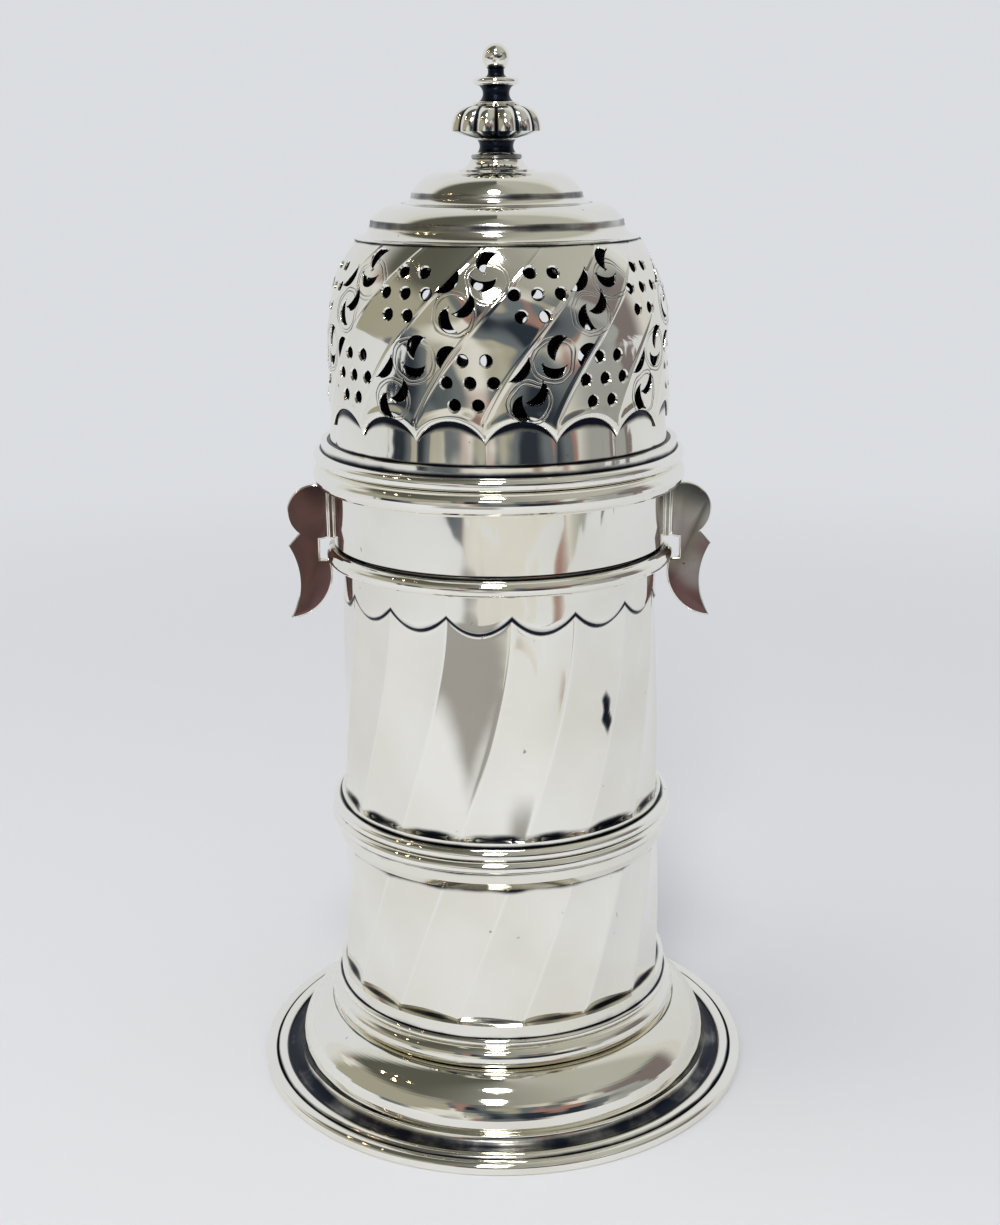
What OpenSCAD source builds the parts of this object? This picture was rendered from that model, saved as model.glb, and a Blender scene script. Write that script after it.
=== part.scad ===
// Sugar caster of lighthouse form: a spirally fluted barrel on a spreading foot,
// with a pierced, domed cover that locks on by two scroll lugs.
// The axis is Z, the table is z = 0, and the lugs stand at plus and minus X.

/* [Barrel] */
// Diameter of the neck and of the plain band under the rim wire
neck_d = 54.2; // [48:0.2:60]
// How much the barrel's radius grows from the plain band to the foot
barrel_flare = 1.8; // [0.4:0.1:3]
// Height of the barrel from its seat on the foot to the rim wire
barrel_h = 82.4; // [74:0.2:96]
// Height of the neck above the rim wire
neck_h = 9.6; // [7:0.1:11]
// Thickness of the neck, and of the barrel behind its flutes
barrel_wall = 0.7; // [0.6:0.1:1.2]
// Thickness of the floor
floor_t = 1; // [0.7:0.1:2]

/* [Flutes] */
// Number of flutes round the barrel
flute_count = 16; // [12:1:20]
// Depth of a flute at its middle
flute_depth = 1.1; // [0.6:0.1:1.6]
// Lean of a flute where it runs freely, in degrees for each millimetre of height
flute_lean = 0.78; // [0.4:0.02:1]
// Height over which a flute turns from upright into its lean
flute_ease = 20; // [12:1:30]
// Turn of the flutes as a whole, in degrees
flute_turn = 4; // [0:1:22]
// Plain band between the rim wire and the tips of the flutes
plain_band = 3.4; // [2:0.1:5]
// Drop of each scallop below its two tips
scallop_drop = 2.7; // [1.5:0.1:4]
// Height over which a flute sinks to its depth below the scallop
scallop_slope = 1.2; // [0.6:0.1:2]

/* [Rim wire] */
// Height of the half-round wire under the cover
rim_wire_h = 2.9; // [2:0.1:3.6]
// How far the rim wire stands out from the neck
rim_wire_w = 2.8; // [2:0.1:3.4]
// Width of each notch that lets a lug pass
rim_notch_w = 5; // [4:0.1:8]

/* [Girdle] */
// Height of the girdle's lower edge above the barrel's seat
girdle_z = 32.4; // [25:0.2:40]
// Height of the sloping lower edge
girdle_apron_h = 1.4; // [0.8:0.1:2]
// Height of the flat step
girdle_step_h = 1.7; // [1:0.1:2.5]
// Height of the lower reed
girdle_low_reed = 2.2; // [1.4:0.1:2.8]
// Height of the upper reed
girdle_high_reed = 2; // [1.4:0.1:2.6]
// Height of the fillet at the top
girdle_fillet_h = 0.9; // [0.5:0.1:1.5]
// How far the lower edge stands out from the barrel
girdle_lip_out = 0.7; // [0.5:0.05:1]
// How far the step stands out from the barrel
girdle_out = 1.35; // [1.1:0.05:2]
// How far the lower reed stands out from the step
girdle_low_out = 0.9; // [0.4:0.05:1.1]
// How far the upper reed stands out from the step
girdle_high_out = 0.6; // [0.3:0.05:1]
// How far the fillet stands out from the barrel
girdle_fillet_out = 0.45; // [0.3:0.05:1]

/* [Foot] */
// Height of the foot from the table to the barrel's seat
foot_h = 11.4; // [9:0.1:15]
// Width of the swell of the foot
swell_w = 5.8; // [4:0.1:8]
// Radius of the hollow under the swell
foot_cove = 1.9; // [1:0.1:2.4]
// Width of the tread round the hollow
tread_w = 2.9; // [2.4:0.1:6]
// Height of the tread above the table
tread_h = 1.3; // [1.2:0.1:2.4]
// Width of the bead on the tread
tread_bead_w = 2; // [1.4:0.1:2.4]
// Height of the bead on the tread
tread_bead_h = 0.8; // [0.4:0.1:1]
// Thickness of the foot's sheet
foot_wall = 0.9; // [0.7:0.1:1.2]
// Width of the seat inside the barrel's wall
foot_seat_w = 6; // [4:0.1:10]
// Width of the wire on the foot's rim
foot_rim_w = 2.2; // [1.6:0.1:3]
// Height of the rim's upright face
foot_face_h = 1.2; // [0.8:0.1:2]
// Height of the rounded top above the rim's face
foot_crown_h = 0.8; // [0.4:0.1:1]

/* [Collet] */
// Height of the torus on the foot
collet_torus = 4; // [3:0.1:5]
// Height of the reed above the torus
collet_reed = 1.3; // [0.9:0.1:2]
// Height of the fillet above the reed
collet_fillet_h = 2.3; // [1:0.1:3]
// How far the torus stands out from the barrel
collet_out = 2.6; // [2.3:0.1:3.6]
// How far the fillet stands out from the barrel
collet_fillet_out = 0.8; // [0.5:0.1:1.1]

/* [Collar] */
// Height of the plain collar below the cover's moulding
collar_h = 10.1; // [9:0.1:14]
// Thickness of the collar
collar_wall = 1.1; // [0.8:0.1:1.5]
// Clearance between the neck and the collar
collar_clear = 0.25; // [0.2:0.05:0.4]
// Gap between the rim wire and the collar when the cover is on
cover_gap = 0.3; // [0.2:0.05:0.6]

/* [Cover moulding] */
// Height of the lower reed
cover_low_reed = 4.2; // [3:0.1:5]
// Height of the upper reed
cover_high_reed = 2.2; // [1.6:0.1:3]
// Height of the fillet round the foot of the drum
cover_fillet_h = 1.4; // [1.2:0.1:2]
// How far the lower reed stands out from the collar
cover_out = 3.25; // [2.7:0.05:4]
// How far the upper reed stands back from the lower one
cover_set_back = 0.15; // [0:0.05:0.4]
// How far the fillet stands out from the drum
cover_fillet_out = 1; // [0.6:0.1:1.4]

/* [Drum] */
// How far the drum's side stands out from the collar
drum_out = 0.75; // [0.4:0.05:1.2]
// Height of the drum's side above the moulding
drum_side_h = 18; // [14:0.2:24]
// How much the side draws in up to the shoulder
drum_taper = 0.7; // [0.2:0.05:1.5]
// Height of the shoulder
drum_shoulder_h = 14.9; // [13.4:0.1:17]
// How far the shoulder draws in
drum_shoulder_w = 5; // [4:0.1:7]
// Thickness of the drum
drum_wall = 0.8; // [0.6:0.1:1.1]
// Height of the tips between the arches above the moulding
arch_tip_h = 3.5; // [2:0.1:5]
// Rise of an arch above the tips
arch_rise = 3.3; // [2:0.1:4.5]
// How deep the arched panels lie below the bands
arch_step = 0.35; // [0.2:0.05:0.4]

/* [Bands] */
// Number of pierced bands of each kind
band_pairs = 8; // [6:1:8]
// Turn of the bands as a whole, in degrees
band_turn = -18; // [-22:1:22]
// Lean of a band at its foot, in degrees for each millimetre of height
band_lean = 0.7; // [0.5:0.05:0.9]
// Growth of the lean, in degrees for each square millimetre
band_curl = 0.03; // [0.02:0.002:0.036]

/* [Piercing] */
// Diameter of a round hole
hole_d = 1.8; // [1:0.1:2.2]
// Distance between the holes of one row
hole_pitch = 3.7; // [3.2:0.1:4]
// Distance between the rows of holes
hole_row = 3.4; // [3:0.1:3.6]
// Share of the band's lean that the rows of holes follow
row_follow = 0.3; // [0:0.05:0.6]
// Height of the lower motif's middle above the moulding
low_motif_h = 12.8; // [12:0.1:13.6]
// Depth of the upper motif's middle below the dome
high_motif_drop = 6.8; // [6.4:0.1:7.4]
// Size of the scrollwork cuts, as the radius of its first crescent
scroll_r = 1.85; // [1.4:0.05:1.95]

/* [Dome] */
// Thickness of the dome
dome_wall = 0.8; // [0.6:0.1:1.2]
// Width of the flat rim on which the dome sits
dome_rim_w = 2.4; // [1.8:0.1:3]
// Height of the dome's rim
dome_rim_h = 0.3; // [0.2:0.1:1]
// Radius of the lower hollow
low_cove = 2.6; // [2:0.1:3.2]
// Width of the lower swell
low_swell_w = 4.8; // [4:0.1:6]
// Height of the lower swell
low_swell_h = 2.75; // [2:0.05:4]
// Width of the ledge between the lower swell and the upper hollow
dome_ledge_w = 0.5; // [0.2:0.1:1]
// Radius of the upper hollow
high_cove = 1.5; // [1:0.1:2]
// Width of the upper swell
high_swell_w = 5.4; // [4.4:0.1:6]
// Height of the upper swell
high_swell_h = 3.5; // [2.6:0.1:4.4]

/* [Lugs] */
// Thickness of a lug
lug_t = 2; // [1.4:0.1:2.6]
// Thickness of the strap that joins a lug to the collar
strap_t = 1.05; // [0.7:0.05:1.5]
// Width of the strap
strap_w = 3.4; // [2.6:0.1:6]
// Radius of the lug's upper lobe
lobe_r = 4.9; // [4:0.1:5.4]
// How far the middle of the lobe lies beyond the strap
lobe_out = 2.2; // [1.6:0.1:2.8]
// Radius of the horn's inner edge
horn_r = 8.2; // [7.4:0.1:9]
// Depth of the horn's middle below the rim wire
horn_drop = 2.7; // [2:0.1:3.4]
// How far the horn grips under the rim wire
horn_grip = 0.9; // [0.5:0.1:1.4]
// Reach of the spur and of the horn's tip beyond the rim wire
lug_reach = 6.8; // [6:0.1:8]
// Depth of the hollow in the horn's outer edge
horn_hollow = 1.8; // [1:0.1:2.4]
// Height of the hollow between the spur and the tip
horn_h = 13; // [11:0.1:15]
// Depth of the spur below the top of the rim wire
spur_drop = 0.8; // [0.4:0.1:1.4]
// Slope of the edge that falls to the spur, in degrees
spur_slope = 48; // [40:1:56]
// Clearance between the rim wire and the slot in a lug
slot_clear = 0.35; // [0.3:0.05:0.8]
// Depth of the slot beyond the rim wire
slot_depth = 1.2; // [0.6:0.1:2]

/* [Finial] */
// Diameter of the finial's foot
finial_foot_d = 12.4; // [10:0.2:15]
// Height of the flare of the finial's foot
finial_flare_h = 1.4; // [1:0.1:2]
// Height of the edge of the finial's foot
finial_lip = 0.3; // [0.2:0.1:0.6]
// Diameter of the bead above the flare
finial_bead_d = 8.3; // [7:0.1:9]
// Height of the bead
finial_bead_h = 1; // [0.7:0.1:1.5]
// Height of the waist under the knop
finial_waist_h = 2.8; // [2:0.1:4]
// Diameter of the waist
finial_waist_d = 5.5; // [4.4:0.1:6.4]
// Diameter of the knop
knop_d = 14.3; // [12:0.1:17]
// Height of the knop's underside
knop_low_h = 1.3; // [0.8:0.1:2]
// Height of the knop's crown
knop_high_h = 3.8; // [3:0.1:5]
// Number of lobes on the knop
knop_lobes = 12; // [8:1:16]
// Share of the radius by which the valleys between the lobes are cut in
knop_cut = 0.09; // [0.04:0.01:0.14]
// Diameter of the collar on the knop
spire_foot_d = 7.6; // [6.6:0.1:8.4]
// Height of the collar on the knop
spire_foot_h = 0.6; // [0.4:0.1:1]
// Height of the spire's lower neck
spire_neck_h = 2.5; // [1.8:0.1:3.5]
// Diameter of the spire's lower neck
spire_neck_d = 4.3; // [3.6:0.1:5.4]
// Diameter of the lower neck at its two ends
spire_neck_wide_d = 5.6; // [5.5:0.1:6.4]
// Diameter of the spire's flange
spire_flange_d = 7.6; // [6.4:0.1:9]
// Height of the flange
spire_flange_h = 1.2; // [0.8:0.1:1.8]
// Height of the upper neck
spire_top_h = 0.9; // [0.6:0.1:1.5]
// Diameter of the upper neck
spire_top_d = 2.6; // [2:0.1:3.4]
// Diameter of the ball
ball_d = 4.4; // [3.6:0.1:5.6]
// Diameter of the stud that holds the finial
stud_d = 1.8; // [1.4:0.1:2.2]
// How far the stud stands out of the nut
stud_end = 0.5; // [0.3:0.1:1.5]
// Thickness of the nut
nut_h = 2; // [1.4:0.1:3]
// Width of the nut across its corners
nut_w = 5.2; // [4.4:0.1:6.4]
// Thickness of the washer
washer_t = 0.8; // [0.5:0.1:1.2]
// Diameter of the washer
washer_d = 8; // [6:0.1:10]
// Clearance round the loose washer
washer_clear = 0.06; // [0.04:0.01:0.1]

/* [Hidden] */

$fn = 96;
silver = [0.86, 0.85, 0.81];
bright = [0.93, 0.92, 0.89];
shaded = [0.55, 0.50, 0.49];
// Gap left by the solder between an applied wire and what it is wrapped round
solder = 0.12;
// A length that reaches past anything it cuts
past = 200;
// How far a cut runs on beyond the face that it opens
over = 1;

// Heights, from the table upwards
seat_z = foot_h;
wire_z = seat_z + barrel_h;
wire_top = wire_z + rim_wire_h;
neck_top = wire_top + neck_h;
tip_z = wire_z - plain_band;
collar_z = wire_top + cover_gap;
moulding_z = collar_z + collar_h;
ledge_z = moulding_z + cover_low_reed + cover_high_reed;
drum_z = ledge_z + cover_fillet_h;
shoulder_z = drum_z + drum_side_h;
dome_z = shoulder_z + drum_shoulder_h;
low_edge_z = dome_z + dome_rim_h + low_cove;
low_top_z = low_edge_z + low_swell_h;
high_edge_z = low_top_z + high_cove;
crown_z = high_edge_z + high_swell_h;
bead_z = crown_z + finial_flare_h;
waist_z = bead_z + finial_bead_h;
knop_z = waist_z + finial_waist_h;
knop_wide_z = knop_z + knop_low_h;
spire_z = knop_wide_z + knop_high_h;
spire_neck_z = spire_z + spire_foot_h;
flange_z = spire_neck_z + spire_neck_h;
top_neck_z = flange_z + spire_flange_h;
ball_z = top_neck_z + spire_top_h + ball_d / 2;
washer_z = crown_z - dome_wall - washer_clear - washer_t;
nut_z = washer_z - washer_clear - nut_h;

// Radii, from the neck outwards and upwards
neck_r = neck_d / 2;
neck_bore_r = neck_r - barrel_wall;
barrel_foot_r = neck_r + barrel_flare;
wire_out_r = neck_r + rim_wire_w;
torus_out_r = barrel_foot_r + collet_out;
skirt_r = torus_out_r + swell_w;
tread_in_r = skirt_r + foot_cove;
rim_in_r = tread_in_r + tread_w;
foot_r = rim_in_r + foot_rim_w;
seat_in_r = barrel_foot_r - flute_depth - barrel_wall - foot_seat_w;
collar_in_r = neck_r + collar_clear;
collar_r = collar_in_r + collar_wall;
drum_r = collar_r + drum_out;
shoulder_r = drum_r - drum_taper;
dome_r = shoulder_r - drum_shoulder_w;
low_edge_r = dome_r - low_cove;
low_flat_r = low_edge_r - low_swell_w;
high_edge_r = low_flat_r - dome_ledge_w - high_cove;
high_flat_r = high_edge_r - high_swell_w;
strap_out_r = collar_r + strap_t;
horn_in_r = wire_out_r - horn_grip;
stud_r = stud_d / 2;
waist_wide_r = (finial_bead_d + finial_waist_d) / 4;
stud_top_z = flange_z + 0.5 * spire_flange_h;

// Radius over the arrises of the barrel at a height
function barrel_r(z) = neck_r + barrel_flare * max(0, min(1, (wire_z - z) / barrel_h));

// Radius of an arc that leaves the level and falls dz over a run of dx
function swell_r(dx, dz) = (dx * dx + dz * dz) / (2 * dz);

// Radius of an arc of the given chord and sagitta
function arc_r(chord, sag) = (chord * chord / 4 + sag * sag) / (2 * sag);

// Radius and height of a swell that ends plumb: its centre is level with its foot
function plumb_c(r_top, r_foot, rise) = (r_foot * r_foot - r_top * r_top - rise * rise) / (2 * (r_foot - r_top));

// Bow of a hollow or lobe at step i of a round of segs steps: 0 at its edges and 1 at its middle
function bow(i, segs) = let (share = (i % segs) / segs) 4 * share * (1 - share);

// A closed skin through level rings of points, from the lowest ring to the highest
module closed_skin(rings) {
  n = len(rings[0]);
  m = len(rings);
  ends = [[0, 0, rings[0][0][2]], [0, 0, rings[m - 1][0][2]]];
  function at(k, i) = k * n + i % n;
  faces = concat(
    [for (k = [0 : m - 2]) for (i = [0 : n - 1]) [at(k, i), at(k + 1, i), at(k + 1, i + 1)]],
    [for (k = [0 : m - 2]) for (i = [0 : n - 1]) [at(k, i), at(k + 1, i + 1), at(k, i + 1)]],
    [for (i = [0 : n - 1]) [m * n, at(0, i), at(0, i + 1)]],
    [for (i = [0 : n - 1]) [m * n + 1, at(m - 1, i + 1), at(m - 1, i)]]);
  polyhedron(concat([for (ring = rings) each ring], ends), faces);
}

// Section of a half-round wire on an upright wall
module half_round(r_in, z, w, h) {
  translate([r_in, z]) square([w - h / 2, h]);
  translate([r_in + w - h / 2, z + h / 2]) circle(d = h);
}

// Section of a low bead of width w and height h that stands on a level face
module low_bead(r_in, z, w, h) {
  r = arc_r(w, h);
  intersection() {
    translate([r_in + w / 2, z + h - r]) circle(r);
    translate([r_in, z]) square([w, h]);
  }
}

// A turned ring that follows the barrel's taper inside
module round_barrel(z, h) {
  rotate_extrude() difference() {
    children();
    polygon([[0, z - over], [barrel_r(z - over) + solder, z - over],
             [barrel_r(z + h + over) + solder, z + h + over], [0, z + h + over]]);
  }
}

/* Foot */

swell_c = plumb_c(torus_out_r, skirt_r, seat_z - tread_h - foot_cove);
skirt_z = tread_h + foot_cove;

module foot() {
  color(silver) rotate_extrude() {
    difference() {
      union() {
        intersection() {
          translate([swell_c, skirt_z]) circle(skirt_r - swell_c);
          translate([swell_c, skirt_z]) square([past, seat_z - skirt_z]);
        }
        translate([seat_in_r, seat_z - foot_wall]) square([torus_out_r - seat_in_r, foot_wall]);
        translate([skirt_r - foot_wall, tread_h - foot_wall])
          square([rim_in_r - skirt_r + foot_wall, foot_wall + foot_cove]);
      }
      intersection() {
        translate([swell_c, skirt_z]) circle(skirt_r - swell_c - foot_wall);
        translate([0, skirt_z]) square([past, seat_z - foot_wall - skirt_z]);
      }
      square([skirt_r - foot_wall, skirt_z]);
      translate([tread_in_r, skirt_z]) circle(foot_cove);
      translate([tread_in_r, tread_h]) square([past, past]);
    }
    low_bead(rim_in_r - tread_bead_w, tread_h, tread_bead_w, tread_bead_h);
  }
}

module foot_rim() {
  color(bright) rotate_extrude() {
    translate([rim_in_r, 0]) square([foot_rim_w, foot_face_h]);
    low_bead(rim_in_r, foot_face_h, foot_rim_w, foot_crown_h);
  }
}

/* Body */

collet_h = collet_torus + collet_reed + collet_fillet_h;

module collet() {
  reed_z = seat_z + collet_torus;
  fillet_r = barrel_foot_r + collet_fillet_out;
  color(bright) round_barrel(seat_z, collet_h) {
    half_round(0, seat_z, torus_out_r, collet_torus);
    half_round(0, reed_z, fillet_r + collet_reed / 2, collet_reed);
    translate([0, seat_z]) square([fillet_r, collet_h]);
  }
}

// The fluted part of the barrel, whose rows follow the scallops
flute_segs = 8;
flute_rows = 16;
flute_cols = flute_count * flute_segs;
// The last rows sink from the scallop's edge to the flute's depth: share of the slope, share of the depth
sink = [[1, 1], [0.45, 0.8], [0, 0]];
skin_top = tip_z + plain_band / 4;

function lean(z) = flute_lean * (sqrt(pow(max(0, tip_z - z), 2) + pow(flute_ease, 2)) - flute_ease);
function skin_point(i, z, depth) =
  let (a = -90 + flute_turn + 360 * i / flute_cols - lean(z), r = barrel_r(z) - depth * bow(i, flute_segs))
  [r * cos(a), r * sin(a), z];
function scallop_z(i) = tip_z - scallop_drop * bow(i, flute_segs);
function run_z(i, k) = seat_z + (scallop_z(i) - scallop_slope - seat_z) * k / flute_rows;

module fluted_skin() {
  cols = [0 : flute_cols - 1];
  closed_skin(concat(
    [for (k = [0 : flute_rows - 1]) [for (i = cols) skin_point(i, run_z(i, k), flute_depth)]],
    [for (s = sink) [for (i = cols) skin_point(i, scallop_z(i) - s[0] * scallop_slope, s[1] * flute_depth)]],
    [[for (i = cols) skin_point(i, skin_top, 0)]]));
}

bore_foot_r = barrel_foot_r - flute_depth - barrel_wall;
bore_top_r = neck_r - flute_depth - barrel_wall;

module barrel() {
  color(bright) difference() {
    union() {
      fluted_skin();
      translate([0, 0, skin_top]) cylinder(h = neck_top - skin_top, r = neck_r);
    }
    translate([0, 0, seat_z]) cylinder(h = wire_z - seat_z, r1 = bore_foot_r, r2 = bore_top_r);
    translate([0, 0, wire_z]) cylinder(h = past, r = neck_bore_r);
  }
}

module floor_disc() {
  bore_r = bore_foot_r + (bore_top_r - bore_foot_r) * floor_t / barrel_h;
  color(silver) translate([0, 0, seat_z]) cylinder(h = floor_t, r = bore_r - solder);
}

module girdle() {
  z0 = seat_z + girdle_z;
  step_z = z0 + girdle_apron_h;
  low_z = step_z + girdle_step_h;
  high_z = low_z + girdle_low_reed;
  fillet_z = high_z + girdle_high_reed;
  r = barrel_r(step_z);
  step_r = r + girdle_out;
  color(bright) round_barrel(z0, fillet_z + girdle_fillet_h - z0) {
    polygon([[0, z0], [r + girdle_lip_out, z0], [step_r, step_z], [0, step_z]]);
    translate([0, step_z]) square([step_r, girdle_step_h]);
    half_round(0, low_z, step_r + girdle_low_out, girdle_low_reed);
    half_round(0, high_z, step_r + girdle_high_out, girdle_high_reed);
    translate([0, fillet_z]) square([r + girdle_fillet_out, girdle_fillet_h]);
  }
}

module rim_wire() {
  color(bright) difference() {
    rotate_extrude() difference() {
      half_round(0, wire_z, wire_out_r, rim_wire_h);
      square([neck_r + solder, past]);
    }
    translate([-past / 2, -rim_notch_w / 2, wire_z - over]) cube([past, rim_notch_w, rim_wire_h + 2 * over]);
  }
}

/* Cover */

// The collar ends inside the moulding, below the ledge that carries the drum
module cover_collar() {
  chamfer = collar_wall / 3;
  collar_top = ledge_z - solder;
  color(bright) rotate_extrude()
    polygon([[collar_in_r, collar_z], [collar_r - chamfer, collar_z], [collar_r, collar_z + chamfer],
             [collar_r, collar_top], [collar_in_r, collar_top]]);
}

module lug_straps() {
  strap_h = collar_h - 2 * slot_clear;
  color(shaded) intersection() {
    rotate_extrude() translate([collar_r, collar_z + slot_clear]) square([strap_t, strap_h]);
    translate([-past / 2, -strap_w / 2, 0]) cube([past, strap_w, past]);
  }
}

// Outline of a lug: an upper lobe on the strap, a spur, and a horn that hooks under the rim wire
module lug_outline() {
  reach_r = wire_out_r + lug_reach;
  slot_r = wire_out_r + slot_depth;
  slot_low = wire_z - slot_clear;
  slot_high = wire_top + slot_clear;
  lobe_mid = [strap_out_r + lobe_out, moulding_z - lobe_r - slot_clear];
  horn_mid = [horn_in_r + horn_r, wire_z - horn_drop];
  spur = [reach_r, wire_top - spur_drop];
  back_r = arc_r(horn_h, horn_hollow);
  difference() {
    union() {
      translate(lobe_mid) circle(lobe_r);
      difference() {
        translate(horn_mid) circle(horn_r);
        translate([reach_r - horn_hollow + back_r, spur[1] - horn_h / 2]) circle(back_r);
        translate(spur) rotate(-spur_slope) translate([-past, 0]) square([2 * past, past]);
      }
      translate([slot_r, slot_low]) square([lobe_r / 2, lobe_mid[1] - slot_low]);
    }
    square([strap_out_r, past]);
    translate([0, wire_z - slot_clear]) square([slot_r, slot_high - slot_low]);
  }
  // The horn's inner edge below the slot, which the strap's line would cut away
  intersection() {
    difference() {
      translate(horn_mid) circle(horn_r);
      translate([reach_r - horn_hollow + back_r, spur[1] - horn_h / 2]) circle(back_r);
    }
    square([strap_out_r + over, slot_low]);
  }
}

module lug() {
  color(shaded) rotate([90, 0, 0]) linear_extrude(lug_t, center = true) lug_outline();
}

module right_lug() {
  lug();
}

module left_lug() {
  mirror([1, 0, 0]) lug();
}

module cover_moulding() {
  high_z = moulding_z + cover_low_reed;
  color(bright) rotate_extrude() difference() {
    union() {
      half_round(0, moulding_z, collar_r + cover_out, cover_low_reed);
      half_round(0, high_z, collar_r + cover_out - cover_set_back, cover_high_reed);
      translate([0, ledge_z]) square([drum_r + cover_fillet_out, cover_fillet_h]);
    }
    square([collar_r + solder, past]);
    translate([0, ledge_z]) square([drum_r + solder, past]);
  }
}

// Centre of the shoulder's arc, and the lean of its surface at a height
shoulder_c = plumb_c(dome_r, shoulder_r, drum_shoulder_h);
shoulder_arc = shoulder_r - shoulder_c;
function surface_lean(z) = asin(max(0, z - shoulder_z) / shoulder_arc);

// Radius of the drum at a height
function drum_r_at(z) = z < shoulder_z ? drum_r - drum_taper * (z - drum_z) / drum_side_h
                                       : shoulder_c + shoulder_arc * cos(surface_lean(z));

// Degrees of turn for a length along the drum's surface at a height
function along(length, z) = length / drum_r_at(z) * 180 / PI;

// Height reached by a length up the drum's surface from a height
function up(length, z) =
  let (from = z < shoulder_z ? z - shoulder_z : surface_lean(z) * shoulder_arc * PI / 180, to = from + length)
  shoulder_z + (to < 0 ? to : shoulder_arc * sin(to / shoulder_arc * 180 / PI));

// Turn of a band's middle line at a height, in degrees to the right of the front
bands = 2 * band_pairs;
band_step = 360 / bands;
arch_tip_z = drum_z + arch_tip_h;
function band_at(z) = let (rise = z - arch_tip_z) band_turn + rise * (band_lean + band_curl * rise);

// Inside and outside of the drum: a slight cone with a rounded shoulder, drawn in by t
module drum_form(t) {
  polygon([[0, ledge_z], [drum_r - t, ledge_z], [drum_r - t, drum_z], [shoulder_r - t, shoulder_z], [0, shoulder_z]]);
  intersection() {
    translate([shoulder_c, shoulder_z]) circle(shoulder_arc - t);
    translate([0, shoulder_z]) square([past, drum_shoulder_h]);
  }
}

// Arched panels that rise from the moulding, one under each band, sunk into the drum's outside
module arched_panels() {
  half = drum_r * sin(band_step / 2);
  rise_r = arc_r(2 * half, arch_rise);
  arch_z = arch_tip_z + arch_rise - rise_r;
  intersection() {
    rotate_extrude() difference() {
      translate([drum_r - drum_wall - over, drum_z]) square([drum_wall + 2 * over, arch_tip_h + arch_rise]);
      drum_form(arch_step);
    }
    union() {
      translate([0, 0, drum_z]) cylinder(h = arch_tip_h, r = past / 2);
      for (i = [0 : bands - 1])
        rotate(band_at(arch_tip_z + arch_rise) + i * band_step - 90) translate([0, 0, arch_z])
          rotate([0, 90, 0]) cylinder(h = past / 2, r = rise_r);
    }
  }
}

// Sets a cut square to the drum's surface, turned by degrees from the front and at height z
cut_reach = 3;
module on_drum(turn, z) {
  rotate(turn - 90) translate([shoulder_c, 0, min(z, shoulder_z)]) rotate([90 - surface_lean(z), 0, 90])
    translate([0, 0, shoulder_arc]) linear_extrude(2 * cut_reach, center = true) children();
}

// Seven holes in three rows, each row set a little over towards the band's lean
module hole_group(offset, z) {
  for (row = [-1 : 1]) {
    row_z = up(row * hole_row, z);
    row_turn = offset + band_at(z) + row_follow * (band_at(row_z) - band_at(z));
    count = 3 - abs(row);
    for (k = [0 : count - 1])
      on_drum(row_turn + along((k - (count - 1) / 2) * hole_pitch, row_z), row_z) circle(d = hole_d, $fn = 24);
  }
}

// A crescent of radius r, thick at its middle, whose hollow of radius bite faces the given direction
module crescent(r, thick, bite, toward) {
  difference() {
    circle(r, $fn = 32);
    rotate(toward) translate([thick - r + bite, 0]) circle(bite, $fn = 64);
  }
}

// The crescents of one motif, in scroll radii: place along and up, radius, thickness, radius of the hollow,
// and the direction that the hollow faces
motif = [[-1.45, -2.1, 1.05, 0.95, 2.5, 20], [-0.55, -0.8, 1.05, 0.85, 2, 140], [-2.2, 1.35, 1.25, 0.8, 9, 140],
         [1.1, 1.3, 1, 0.8, 1.7, 85], [1.5, 2.8, 1, 0.95, 2.3, -30]];
// The crescent that fills the band between two motifs
filler = [4.25, 2, 1.05, 0.9, 9, -35];

module scroll_group(offset, z, crescents) {
  for (c = crescents) {
    cut_z = up(c[1] * scroll_r, z);
    on_drum(offset + band_at(z) + along(c[0] * scroll_r, cut_z), cut_z)
      crescent(c[2] * scroll_r, c[3] * scroll_r, c[4] * scroll_r, c[5]);
  }
}

module piercings() {
  low_z = drum_z + low_motif_h;
  high_z = dome_z - high_motif_drop;
  for (i = [0 : band_pairs - 1]) {
    hole_turn = 2 * i * band_step;
    scroll_turn = hole_turn + band_step;
    hole_group(hole_turn, low_z);
    hole_group(hole_turn, high_z);
    scroll_group(scroll_turn, low_z, concat(motif, [filler]));
    scroll_group(scroll_turn, high_z, motif);
  }
}

module pierced_drum() {
  color(silver) difference() {
    rotate_extrude() drum_form(0);
    arched_panels();
    rotate_extrude() {
      drum_form(drum_wall);
      square([drum_r - drum_wall, drum_z]);
      translate([0, shoulder_z]) square([dome_r - dome_rim_w, past]);
    }
    piercings();
  }
}

// Outside and inside of one step of the dome: a swell above a hollow, drawn in by t
module dome_step(flat_r, edge_r, edge_z, top_z, cove, t) {
  r = swell_r(edge_r - flat_r, top_z - edge_z);
  intersection() {
    union() {
      translate([flat_r, top_z - r]) circle(r - t);
      translate([0, top_z - r]) square([flat_r, r - t]);
    }
    translate([0, edge_z]) square([edge_r, top_z - edge_z]);
  }
  difference() {
    translate([0, edge_z - cove]) square([edge_r + cove, cove]);
    translate([edge_r + cove, edge_z]) circle(cove + t);
  }
}

module dome_form(t) {
  dome_step(low_flat_r, low_edge_r, low_edge_z, low_top_z, low_cove, t);
  dome_step(high_flat_r, high_edge_r, high_edge_z, crown_z, high_cove, t);
}

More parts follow.
